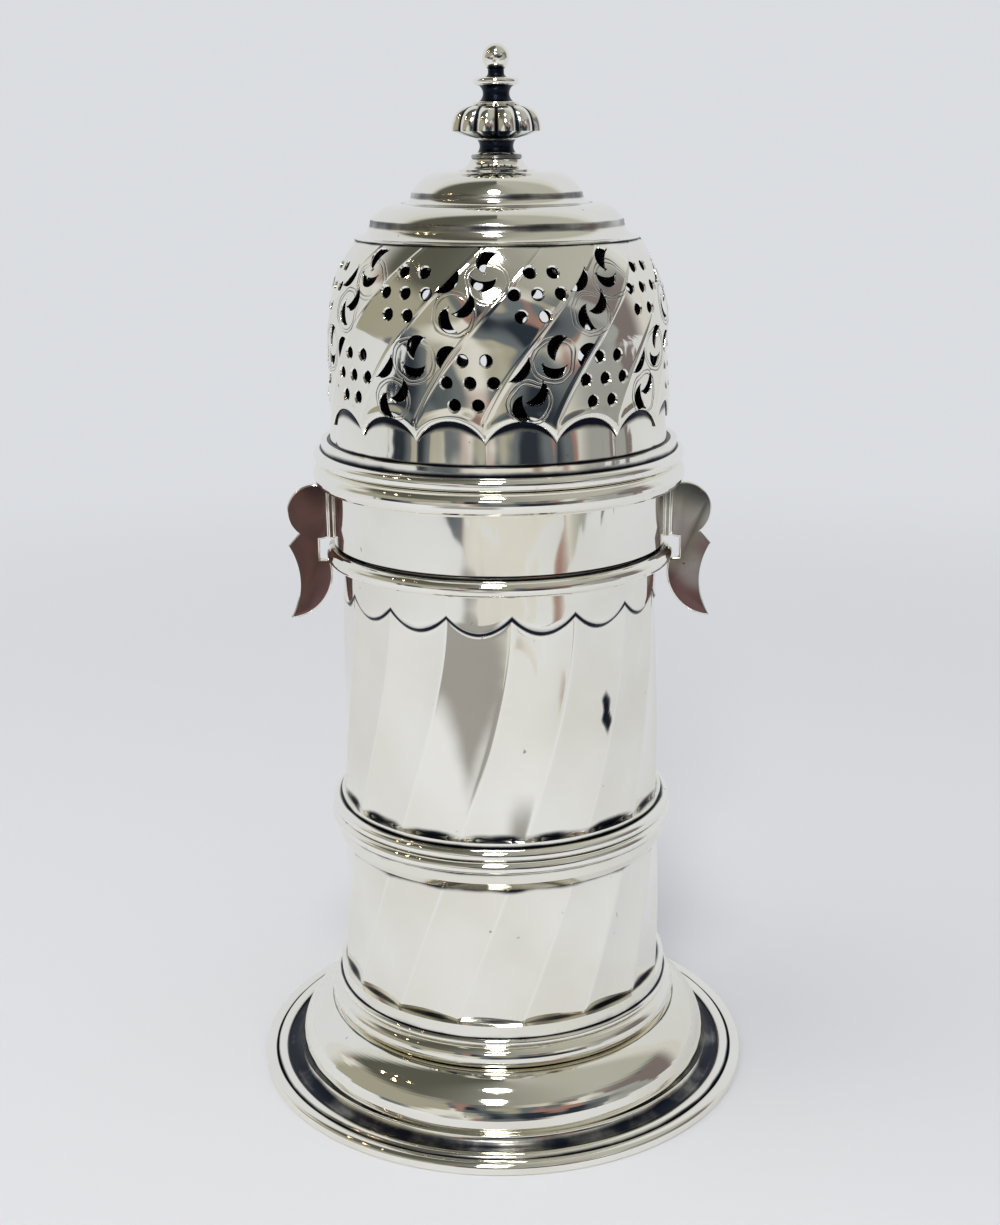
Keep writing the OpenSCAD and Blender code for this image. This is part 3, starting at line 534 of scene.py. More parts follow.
def ring_group():
    """Node group: the double line of a circle engraved on the drum, repeated once for each pair of bands."""
    found = bpy.data.node_groups.get("engraved circle")
    if found:
        return found
    inputs = value_sockets("Repeats", "Turn", "Height", "Stretch", "Radius", "Line")
    group, ends, out = new_group("engraved circle", inputs, value_sockets("Mask"))
    given = ends.outputs
    place = group.nodes.new("ShaderNodeTexCoord").outputs["Object"]
    hand = noise(group, place, *HAND)
    waver = vector(group, "ADD", hand["Color"], (-0.5, -0.5, -0.5))
    place = vector(group, "MULTIPLY_ADD", waver, (WAVER, WAVER, WAVER), place)
    x, y, z = wired(group, "ShaderNodeSeparateXYZ", {0: place}).outputs
    turn = maths(group, "ARCTAN2", x, maths(group, "MULTIPLY", y, -1.0))
    half = maths(group, "DIVIDE", math.pi, given["Repeats"])
    off = maths(group, "SUBTRACT", turn, maths(group, "RADIANS", given["Turn"]))
    off = maths(group, "WRAP", off, half, maths(group, "MULTIPLY", half, -1.0))
    along = maths(group, "MULTIPLY", off, span(group, x, y))
    up = maths(group, "MULTIPLY", maths(group, "SUBTRACT", z, given["Height"]), given["Stretch"])
    gap = maths(group, "ABSOLUTE", maths(group, "SUBTRACT", span(group, along, up), given["Radius"]))
    beside = maths(group, "SUBTRACT", gap, maths(group, "MULTIPLY", given["Line"], DOUBLE))
    line = maths(group, "DIVIDE", maths(group, "ABSOLUTE", beside), given["Line"])
    drawn = smooth(group, line, *LINE_FADE, 1.0, 0.0)
    pressed = smooth(group, hand["Fac"], *PRESS_RANGE, PRESS_LEAST, 1.0)
    group.links.new(maths(group, "MULTIPLY", drawn, pressed), out.inputs["Mask"])
    return group


def engraved_lines(tree, repeats):
    """A mask of all the engraved circles."""
    lines = 0.0
    for turn, height, stretch, radius in CIRCLES:
        values = {"Repeats": repeats, "Turn": turn, "Height": height, "Stretch": stretch, "Radius": radius,
                  "Line": CIRCLE_LINE}
        ring = wired(tree, "ShaderNodeGroup", values, node_tree=ring_group())
        lines = maths(tree, "MAXIMUM", ring.outputs["Mask"], lines)
    return lines


# Scale and detail of the patches where the stain is thin, and the range over which it thins
PATCHES, PATCH_FADE = (60.0, 2.0), (0.5, 0.68)
# How much thinner the stain grows per metre to the right, and per metre up from a height
PATCH_RIGHT, PATCH_UP, PATCH_Z = 3.5, 14.0, 100 * MM


def thin_patches(tree):
    """A mask of the places where the stain is thin."""
    place = tree.nodes.new("ShaderNodeTexCoord").outputs["Object"]
    x, _, z = wired(tree, "ShaderNodeSeparateXYZ", {0: place}).outputs
    patch = maths(tree, "MULTIPLY_ADD", x, PATCH_RIGHT, noise(tree, place, *PATCHES)["Fac"])
    patch = maths(tree, "MULTIPLY_ADD", maths(tree, "SUBTRACT", z, PATCH_Z), PATCH_UP, patch)
    return smooth(tree, patch, *PATCH_FADE)


# Depth of the dents in the engraved and in the plain silver, as a share of the relief
ENGRAVED_DENTS, PLAIN_DENTS = 4.0, 1.5
# Roughness of the finishes that aren't polished, and how far the dull one is metallic
STAIN_ROUGH, INSIDE_ROUGH, DULL_ROUGH, DULL_METALLIC = 0.2, 0.4, 0.38, 0.7


def silver_material(context, name, metal, roughness, engraved=False, cleared=None, metallic=1.0):
    """A silver material, made once, that darkens with tarnish and painted shade where its attribute for them
    says so.
    """
    found = bpy.data.materials.get(name)
    if found:
        return found
    material = bpy.data.materials.new(name)
    material.use_nodes = True
    tree = material.node_tree
    shader = tree.nodes["Principled BSDF"]
    shader.inputs["Metallic"].default_value = metallic
    dents = ENGRAVED_DENTS if engraved else PLAIN_DENTS
    inputs = {"Metal": (*metal, 1.0), "Roughness": roughness, "Dents": dents}
    for title in ("Tarnish", "Wear"):
        inputs[title] = wired(tree, "ShaderNodeAttribute", {}, attribute_name=title.lower()).outputs["Fac"]
    if cleared:
        inputs["Metal"] = blend(tree, thin_patches(tree), metal, cleared)
    if engraved:
        inputs["Engraving"] = engraved_lines(tree, float(context.scene.caster_sizes.band_pairs))
    worn = wired(tree, "ShaderNodeGroup", inputs, node_tree=worn_group(context.scene.caster_finish))
    for socket, target in (("Color", "Base Color"), ("Roughness", "Roughness"), ("Normal", "Normal")):
        tree.links.new(worn.outputs[socket], shader.inputs[target])
    return material


def polished(context):
    """The polished silver of most pieces."""
    finish = context.scene.caster_finish
    return silver_material(context, "polished silver", finish.silver, finish.roughness)


def dull(context):
    """The unpolished silver inside."""
    tone = context.scene.caster_finish.dull
    return silver_material(context, "dull silver", tone, DULL_ROUGH, metallic=DULL_METALLIC)


def barrel_radius(sizes, z):
    """Radius over the arrises of the barrel at a height."""
    low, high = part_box("foot")[1].z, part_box("rim_wire")[0].z
    return sizes.neck_r + sizes.barrel_flare * np.clip((high - z) / (high - low), 0, 1)


class CASTER_OT_foot(Operator):
    """Makes the spreading foot and the wire round its rim"""

    bl_idname = "caster.foot"
    bl_label = "Foot"

    # Half the width of the tarnish at the rim, on the joint with the collet and inside the wire
    RIM_MARK, JOINT_MARK, WIRE_MARK = 0.6 * MM, 0.15 * MM, 0.35 * MM
    # Darkness of the joint and of the painted shade in the hollow, and how much more painted shade the hollow
    # gets to the left and right
    JOINT_DARK, COVE_DARK, COVE_SIDES = 0.8, 0.7, 0.12
    # Where the painted shade in the hollow sets in, outside the swell and inside the tread
    COVE_IN, COVE_OUT = (-0.3 * MM, 0.6 * MM), (-1.1 * MM, 0.1 * MM)
    # Broken lower edge of the wire
    WIRE_EDGE = 0.15 * MM

    def execute(self, context):
        s = context.scene.caster_sizes
        seat_z, rim_in_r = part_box("foot")[1].z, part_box("foot")[1].x
        swell_top_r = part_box("collet")[1].x
        tread_in_r = rim_in_r - s.tread_w
        skirt_r = tread_in_r - s.foot_cove
        skirt_z = s.tread_h + s.foot_cove
        rise = seat_z - skirt_z
        swell_mid = swell_centre(skirt_r, swell_top_r, rise)
        swell_r = skirt_r - swell_mid
        inner_r = swell_r - s.foot_wall
        inner_z = seat_z - s.foot_wall
        top = math.degrees(math.asin(rise / swell_r))
        inner_top = math.degrees(math.asin((inner_z - skirt_z) / inner_r))
        low_z = s.tread_h - s.foot_wall
        section = [(s.seat_in_r, seat_z)]
        section += arc(swell_mid, skirt_z, swell_r, top, 0, SWELL_STEPS)
        section += arc(tread_in_r, skirt_z, s.foot_cove, 180, 270, REED_STEPS)[1:]
        section += low_bead(rim_in_r - s.bead_w, s.tread_h, s.bead_w, s.bead_h)
        section += [(rim_in_r, low_z), (skirt_r - s.foot_wall, low_z)]
        section += arc(swell_mid, skirt_z, inner_r, 0, inner_top, SWELL_STEPS)
        section.append((s.seat_in_r, inner_z))

        def marks(co):
            """Tarnish at the rim and on the joint with the collet, and painted shade in the hollow."""
            out = from_axis(co)
            rim = line_at(out - rim_in_r, self.RIM_MARK)
            joint = line_at(out - swell_top_r, self.JOINT_MARK, most=self.JOINT_DARK) * (co[:, 2] > inner_z)
            # Painted shade in the hollow under the swell, darker to the left and right
            cove = self.COVE_DARK + self.COVE_SIDES * np.abs(co[:, 0]) / rim_in_r
            cove *= ramp(out - skirt_r, *self.COVE_IN) * ramp(tread_in_r - out, *self.COVE_OUT)
            return np.maximum.reduce([rim, joint, cove])

        polished_piece(context, "domed_foot", turned(section), "body", "foot", marks)

        rim_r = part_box("foot_rim")[1].x
        crown_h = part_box("foot_rim")[1].z - s.rim_face_h
        section = [(rim_in_r, 0), (rim_r - self.WIRE_EDGE, 0), (rim_r, self.WIRE_EDGE)]
        section += low_bead(rim_in_r, s.rim_face_h, rim_r - rim_in_r, crown_h)[::-1]

        def wire_marks(co):
            """Tarnish where the wire meets the foot."""
            return line_at(from_axis(co) - rim_in_r, self.WIRE_MARK)

        polished_piece(context, "foot_wire", turned(section), "body", "foot_rim", wire_marks)
        return {"FINISHED"}


class CASTER_OT_wires(Operator):
    """Makes the moulded wires: collet, girdle, notched rim wire and the moulding of the cover"""

    bl_idname = "caster.wires"
    bl_label = "Moulded wires"

    # Darkness of the painted shade on a wire's top where the flutes stand on it
    SHELF_DARK = 0.75

    def collet(self, s):
        """The wire between foot and barrel."""
        low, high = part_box("collet")
        fillet_r = s.neck_r + s.barrel_flare + s.collet_fillet_out
        reed_z = low.z + s.torus_h
        section = half_round(high.x, low.z, s.torus_h) + [(fillet_r, reed_z)]
        section += half_round(fillet_r + s.collet_reed_h / 2, reed_z, s.collet_reed_h)[1:]
        section += [(fillet_r, high.z), (barrel_radius(s, high.z) - s.flute_depth, high.z),
                    (s.seat_in_r, low.z)]
        return turned(section)

    def girdle(self, s):
        """The reeded wire round the middle of the barrel."""
        low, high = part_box("girdle")
        step_z = low.z + s.girdle_apron_h
        reed_z = step_z + s.girdle_step_h
        top_reed_z = reed_z + s.girdle_low_h
        fillet_z = top_reed_z + s.girdle_high_h
        barrel_r = barrel_radius(s, step_z)
        step_r = barrel_r + s.girdle_out
        fillet_r = barrel_r + s.girdle_fillet_out
        section = [(barrel_r + s.girdle_lip_out, low.z), (step_r, step_z), (step_r, reed_z)]
        section += half_round(high.x, reed_z, s.girdle_low_h)
        section += half_round(high.x - s.girdle_high_back, top_reed_z, s.girdle_high_h)
        section += [(fillet_r, fillet_z), (fillet_r, high.z)]
        section += [(barrel_radius(s, z) - s.flute_depth, z) for z in (high.z, low.z)]
        return turned(section)

    def rim_wire(self, s):
        """The two halves of the wire under the cover, with the notches between them."""
        low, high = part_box("rim_wire")
        section = half_round(high.y, low.z, high.z - low.z) + [(s.neck_r, high.z), (s.neck_r, low.z)]
        notch = math.degrees(math.asin(s.notch_w / 2 / high.y))
        wire = turned(section, TURN_STEPS // 2, start=notch, sweep=180 - 2 * notch)
        geom = bmesh.ops.duplicate(wire, geom=wire.verts[:] + wire.edges[:] + wire.faces[:])["geom"]
        other = [v for v in geom if isinstance(v, bmesh.types.BMVert)]
        bmesh.ops.rotate(wire, verts=other, cent=(0, 0, 0), matrix=Matrix.Rotation(math.pi, 3, "Z"))
        return wire

    def moulding(self, s):
        """The reeded wire round the foot of the drum."""
        low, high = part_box("cover_moulding")
        collar_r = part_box("cover_collar")[1].x
        drum_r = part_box("pierced_drum")[1].x
        reed_z = low.z + s.cover_low_h
        fillet_z = reed_z + s.cover_high_h
        fillet_r = drum_r + s.cover_fillet_out
        section = half_round(high.x, low.z, s.cover_low_h)
        section += half_round(high.x - s.cover_high_back, reed_z, s.cover_high_h)
        section += [(fillet_r, fillet_z), (fillet_r, high.z), (drum_r, high.z), (drum_r, fillet_z),
                    (collar_r, fillet_z), (collar_r, low.z)]
        return turned(section)

    def execute(self, context):
        s = context.scene.caster_sizes

        def shelf(co):
            """Painted shade on the top of a wire where the flutes stand on it."""
            return self.SHELF_DARK * (from_axis(co) < barrel_radius(s, co[:, 2]) + SUPPORT)

        # The wires: name, maker, body, CAD node, marks, and how far the tarnish creeps, in spreads
        wires = (("collet_wire", self.collet, "body", "collet", shelf, 1.2),
                 ("girdle_wire", self.girdle, "body", "girdle", shelf, 1.7),
                 ("notched_wire", self.rim_wire, "body", "rim_wire", None, 1.7),
                 ("reeded_moulding", self.moulding, "cover", "cover_moulding", None, 1.1))
        for name, make, body, node, marks, creep in wires:
            polished_piece(context, name, make(s), body, node, marks, creep)
        return {"FINISHED"}


class CASTER_OT_barrel(Operator):
    """Makes the spirally fluted barrel and its floor"""

    bl_idname = "caster.barrel"
    bl_label = "Fluted barrel"

    # Rows of the flutes' run, of the slope under the scallops and of the band above them
    RUN_ROWS, SLOPE_ROWS, EDGE_ROWS = 144, 9, 4
    # Height and strength of the painted shade, with some tarnish, under and over the girdle and over the
    # collet, and its darkness
    UNDER_GIRDLE, OVER_GIRDLE, OVER_COLLET = (1.3 * MM, 1.3), (1.35 * MM, 1.3), (0.9 * MM, 1.1)
    WIRE_DARK = 0.95
    # The share of it that is left on the arrises over a wire, and the part of a flute's depth over which it
    # grows whole
    ARRIS_SHARE, SUNK = 0.55, (0.1, 0.9)
    # Its mean and its change round the barrel, by two waves, the first of which is shifted
    PATCH_MEAN, PATCH_CHANGE, PATCH_WAVES, PATCH_SHIFT = 0.88, 0.17, (7, 18), 1.1
    # The painted shade under the scallop edges: where it starts, its middle, half its width, its strength and
    # its darkness
    LEDGE_TOP, LEDGE_MIDDLE, LEDGE_HALF = -0.1 * MM, 0.45 * MM, 0.7 * MM
    LEDGE_STRENGTH, LEDGE_DARK = 1.1, 0.95
    # The dark upright streak: turn, height, half width and half height, then strength, fall and darkness of
    # its mark
    DENT_TURN, DENT_Z, DENT_W, DENT_H = math.radians(40), 72 * MM, 0.9 * MM, 4.2 * MM
    DENT_STRENGTH, DENT_FALL, DENT_DARK = 1.6, 1.2, 0.8
    # How ragged the streak's sides are, as a share of its width, and over which height
    DENT_RAGGED, DENT_WAVE = 0.25, 0.6 * MM

    def lean(self, s, below):
        """Turn of a flute, in degrees, at a distance below the tips of the scallops."""
        return s.flute_lean * (np.hypot(np.maximum(0, below), s.flute_ease) - s.flute_ease)

    def execute(self, context):
        s = context.scene.caster_sizes
        seat_z, neck_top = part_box("barrel")[0].z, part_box("barrel")[1].z
        wire_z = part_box("rim_wire")[0].z
        tip_z = wire_z - s.plain_band
        slope_z = tip_z - s.scallop_slope
        # The fluted skin takes up the lower third of the plain band
        skin_top = tip_z + s.plain_band / 3
        rows = np.concatenate((np.linspace(seat_z, slope_z, self.RUN_ROWS, endpoint=False),
                               np.linspace(slope_z, tip_z, self.SLOPE_ROWS, endpoint=False),
                               np.linspace(tip_z, skin_top, self.EDGE_ROWS)))
        section = list(zip(barrel_radius(s, rows).tolist(), rows.tolist()))
        section += [(s.neck_r, wire_z), (s.neck_r, neck_top), (s.neck_r - s.barrel_wall, neck_top)]
        bore = s.flute_depth + s.barrel_wall
        section += [(s.neck_r - s.barrel_wall, wire_z), (s.neck_r - bore, wire_z),
                    (s.neck_r + s.barrel_flare - bore, seat_z)]
        first = s.flute_turn - 90
        bm = turned(section, s.flute_count * FLUTE_STEPS, start=first, supports=())

        angle, radius, z = polar(bm)
        skin = radius > barrel_radius(s, z) - s.flute_depth / 2
        share = np.mod((angle - first) * s.flute_count / 360, 1)
        plain_bow = 4 * share * (1 - share)
        soft = s.flute_soft
        bow = (np.hypot(plain_bow, soft) - soft) / (math.hypot(1, soft) - soft)
        edge = tip_z - s.scallop_drop * plain_bow
        run = seat_z + (z - seat_z) * (edge - s.scallop_slope - seat_z) / (slope_z - seat_z)
        above = skin_top - (skin_top - z) * (skin_top - edge) / (skin_top - tip_z)
        height = np.where(z < slope_z, run, np.where(z < tip_z, z - tip_z + edge, above))
        height = np.where(skin & (z < skin_top), height, z)
        depth = s.flute_depth * bow * ramp(tip_z - z, 0, s.scallop_slope)
        set_polar(bm, np.where(skin, angle - self.lean(s, tip_z - height), angle),
                  np.where(skin, barrel_radius(s, height) - depth, radius), height)

        girdle_low, girdle_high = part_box("girdle")[0].z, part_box("girdle")[1].z
        collet_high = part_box("collet")[1].z

        def marks(co):
            """Painted shade, with some tarnish, beside the wires and under the scallop edges, and a dark
            upright streak.
            """
            turn, out, z = front_turn(co), from_axis(co), co[:, 2]
            full_r = barrel_radius(s, z)
            skin = out > full_r - s.flute_depth - s.barrel_wall / 2
            # Painted shade, with some tarnish, in the flute hollows under and over the girdle and over the
            # collet
            under = line_at(girdle_low - z, *self.UNDER_GIRDLE) * (z <= girdle_low)
            over = np.maximum(line_at(z - girdle_high, *self.OVER_GIRDLE) * (z >= girdle_high),
                              line_at(z - collet_high, *self.OVER_COLLET) * (z >= collet_high))
            sunk = ramp((full_r - out) / s.flute_depth, *self.SUNK)
            over *= self.ARRIS_SHARE + (1 - self.ARRIS_SHARE) * sunk
            wave = np.sin(self.PATCH_WAVES[0] * turn + self.PATCH_SHIFT) * np.sin(self.PATCH_WAVES[1] * turn)
            near = self.WIRE_DARK * np.maximum(under, over) * (self.PATCH_MEAN + self.PATCH_CHANGE * wave)
            # A dark upright streak on one flute
            ragged = 1 + self.DENT_RAGGED * np.sin(z / self.DENT_WAVE)
            dent = np.hypot((turn - self.DENT_TURN) * out / self.DENT_W * ragged,
                            (z - self.DENT_Z) / self.DENT_H)
            dent_mark = np.clip(self.DENT_STRENGTH - self.DENT_FALL * dent, 0, self.DENT_DARK)
            # Painted shade just under the scallop edges
            turned_back = np.degrees(turn) - s.flute_turn + self.lean(s, tip_z - z)
            share = np.mod(turned_back * s.flute_count / 360, 1)
            drop = tip_z - s.scallop_drop * 4 * share * (1 - share) - z
            ledge = line_at(drop - self.LEDGE_MIDDLE, self.LEDGE_HALF, self.LEDGE_STRENGTH)
            ledge *= self.LEDGE_DARK * (drop > self.LEDGE_TOP)
            return np.maximum.reduce([near, dent_mark, ledge]) * skin

        middles = np.array([face.calc_center_median() for face in bm.faces])
        wall = np.where(middles[:, 2] > wire_z, s.barrel_wall / 2, s.flute_depth + s.barrel_wall / 2)
        inner = from_axis(middles) < barrel_radius(s, middles[:, 2]) - wall
        for face, is_inner in zip(bm.faces, inner):
            face.material_index = int(is_inner)
        add_piece(context, "fluted_barrel", bm, "body", ["barrel"],
                  (polished(context), dull(context)), marks)
        dull_piece(context, "barrel_floor", rod("floor_disc", TURN_STEPS), "body", "floor_disc")
        return {"FINISHED"}


class CASTER_OT_collar(Operator):
    """Makes the plain collar that slips over the neck"""

    bl_idname = "caster.collar"
    bl_label = "Collar"

    # Half the width and the strength of the painted shade, with some tarnish, at its edges
    EDGE_MARK, EDGE_STRENGTH = 0.5 * MM, 1.2

    def execute(self, context):
        s = context.scene.caster_sizes
        low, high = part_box("cover_collar")
        in_r = high.x - s.collar_wall
        section = [(in_r, low.z), (high.x - s.collar_chamfer, low.z), (high.x, low.z + s.collar_chamfer),
                   (high.x, high.z), (in_r, high.z)]
        moulding_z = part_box("cover_moulding")[0].z

        def marks(co):
            """Painted shade, with some tarnish, along the lower edge and under the moulding."""
            edges = np.minimum(np.abs(co[:, 2] - moulding_z), np.abs(co[:, 2] - low.z))
            return line_at(edges, self.EDGE_MARK, self.EDGE_STRENGTH)

        polished_piece(context, "plain_collar", turned(section), "cover", "cover_collar", marks)
        return {"FINISHED"}


class CASTER_OT_lugs(Operator):
    """Makes the two scroll lugs and the straps that carry them"""

    bl_idname = "caster.lugs"
    bl_label = "Lugs"

    # Least distance of two points and least angle of two faces that stay apart in a copied mesh
    LUG_WELD, FLAT_ANGLE = SUPPORT / 10, math.radians(1)
    # Steps of the rounded edges, and how squarely a face looks to the front or the back if it is stained
    BEVEL_STEPS, STAIN_FACING = 3, 0.97

    def execute(self, context):
        s = context.scene.caster_sizes
        finish = context.scene.caster_finish
        stained = silver_material(context, "stained silver", finish.stain, STAIN_ROUGH,
                                  cleared=finish.cleared)
        for name, node in (("scroll_lug_left", "left_lug"), ("scroll_lug_right", "right_lug"),
                           ("lug_strips", "lug_straps")):
            bm = bmesh.new()
            bm.from_mesh(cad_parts[node].data)
            bmesh.ops.remove_doubles(bm, verts=bm.verts[:], dist=self.LUG_WELD)
            bmesh.ops.dissolve_limit(bm, angle_limit=self.FLAT_ANGLE, verts=bm.verts[:], edges=bm.edges[:])
            outline = [e for e in bm.edges if len(e.link_faces) == 2 and e.calc_face_angle() > SHARP]
            bmesh.ops.bevel(bm, geom=outline, offset=s.lug_bevel, offset_type="OFFSET", affect="EDGES",
                            segments=self.BEVEL_STEPS, profile=0.5, material=-1, clamp_overlap=True)
            bmesh.ops.recalc_face_normals(bm, faces=bm.faces[:])
            for face in bm.faces:
                face.material_index = int(abs(face.normal.y) > self.STAIN_FACING)
            add_piece(context, name, bm, "cover", [node], (polished(context), stained))
        return {"FINISHED"}


class DrumForm:
    """The drum's turned form, its relief and the places of its cuts, worked out from the sizes"""

    def __init__(self, sizes):
        self.s = sizes
        low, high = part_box("pierced_drum")
        self.low_z, self.top_z = low.z, high.z
        self.foot_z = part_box("cover_moulding")[1].z
        self.foot_r, self.top_r = high.x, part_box("dome")[1].x
        self.shoulder_z = self.foot_z + sizes.drum_side_h
        self.shoulder_r = self.foot_r - sizes.drum_taper
        self.mid_r = swell_centre(self.shoulder_r, self.top_r, self.top_z - self.shoulder_z)
        self.arc_r = self.shoulder_r - self.mid_r
        self.band_angle = 180 / sizes.band_pairs
        self.tip_z = self.foot_z + sizes.arch_tip_h
        self.arch_top = self.tip_z + sizes.arch_rise
        chord = 2 * self.foot_r * math.sin(math.radians(self.band_angle / 2))
        self.arch_r = sagitta_radius(chord, sizes.arch_rise)
        self.arch_mid = self.arch_top - self.arch_r

    def lean(self, z):
        """Lean of the surface from upright, in radians."""
        return np.arcsin(np.clip(z - self.shoulder_z, 0, None) / self.arc_r)

    def radius(self, z):
        """Radius of the turned form."""
        side = self.shoulder_r + self.s.drum_taper * ((self.shoulder_z - z) / self.s.drum_side_h) ** 2
        return np.where(z < self.shoulder_z, side, self.mid_r + self.arc_r * np.cos(self.lean(z)))

    def band_at(self, z):
        """Turn of a band's middle line to the right of the front, in degrees."""
        rise = z - self.tip_z
        return self.s.band_turn + rise * (self.s.band_lean + self.s.band_curl * rise)

    def twist(self, z):
        """Turn of the bands above the arches, in degrees."""
        return self.band_at(np.maximum(z, self.arch_top)) - self.band_at(self.arch_top)

    def share(self, turn):
        """Place across a band, from 0 to 1, of a turn at the arches."""
        return np.mod((turn - self.band_at(self.arch_top)) / self.band_angle + 0.5, 1)

    def across(self, share):
        """Distance along the drum's foot from the middle of an arch."""
        return (share - 0.5) * math.radians(self.band_angle) * self.foot_r

    def arch(self, share):
        """Height of the edge of the arches."""
        return self.arch_mid + np.sqrt(np.maximum(self.arch_r ** 2 - self.across(share) ** 2, 0))

    def relief(self, share, z):
        """Height over the turned form: hollow bands between ribs, above sunk and swelling panels."""
        s = self.s
        bow = 4 * share * (1 - share)
        side = np.minimum(share, 1 - share) * (np.radians(self.band_angle) * self.radius(z))
        away = np.hypot(self.across(share), z - self.arch_mid) - self.arch_r
        rib = s.rib_h * np.clip(1 - (2 * side / s.rib_w) ** 2, 0, None)
        # The bands rise to their whole relief between half a roll and two rolls over an arch
        band = (rib - s.band_hollow * bow) * ramp(away, 0.5 * s.arch_roll, 2 * s.arch_roll)
        roll = np.clip(1 - away / s.arch_roll, 0, 1)
        outside = band - s.arch_step * (1 - np.sqrt(1 - roll * roll))
        return np.where(away < 0, s.panel_bulge * bow - s.panel_drop, outside)

    def below(self, co):
        """How far points lie under the surface."""
        z = np.clip(co[:, 2], self.foot_z, self.top_z)
        turn = np.degrees(front_turn(co))
        surface = self.radius(z) + self.relief(self.share(turn - self.twist(z)), z)
        return (surface - from_axis(co)) * np.cos(self.lean(z))

    def up(self, distance, z):
        """Height reached by a distance up the surface from a height."""
        start = z - self.shoulder_z if z < self.shoulder_z else float(self.lean(z)) * self.arc_r
        end = start + distance
        return self.shoulder_z + (end if end < 0 else self.arc_r * math.sin(end / self.arc_r))

    def along(self, distance, z):
        """Turn in degrees for a distance along the surface at a height."""
        return math.degrees(distance / float(self.radius(z)))

    def place(self, turn, z):
        """Matrix of the place at a turn and a height: X along, Y up the surface and Z out of it."""
        a, lean = math.radians(turn - 90), float(self.lean(z))
        out, upright = Vector((math.cos(a), math.sin(a), 0)), Vector((0, 0, 1))
        axes = Matrix((Vector((-math.sin(a), math.cos(a), 0)),
                       upright * math.cos(lean) - out * math.sin(lean),
                       out * math.cos(lean) + upright * math.sin(lean))).transposed()
        level = float(self.relief(self.share(turn - float(self.twist(z))), z))
        point = out * float(self.radius(z)) + upright * z + axes.col[2] * level
        return Matrix.Translation(point) @ axes.to_4x4()


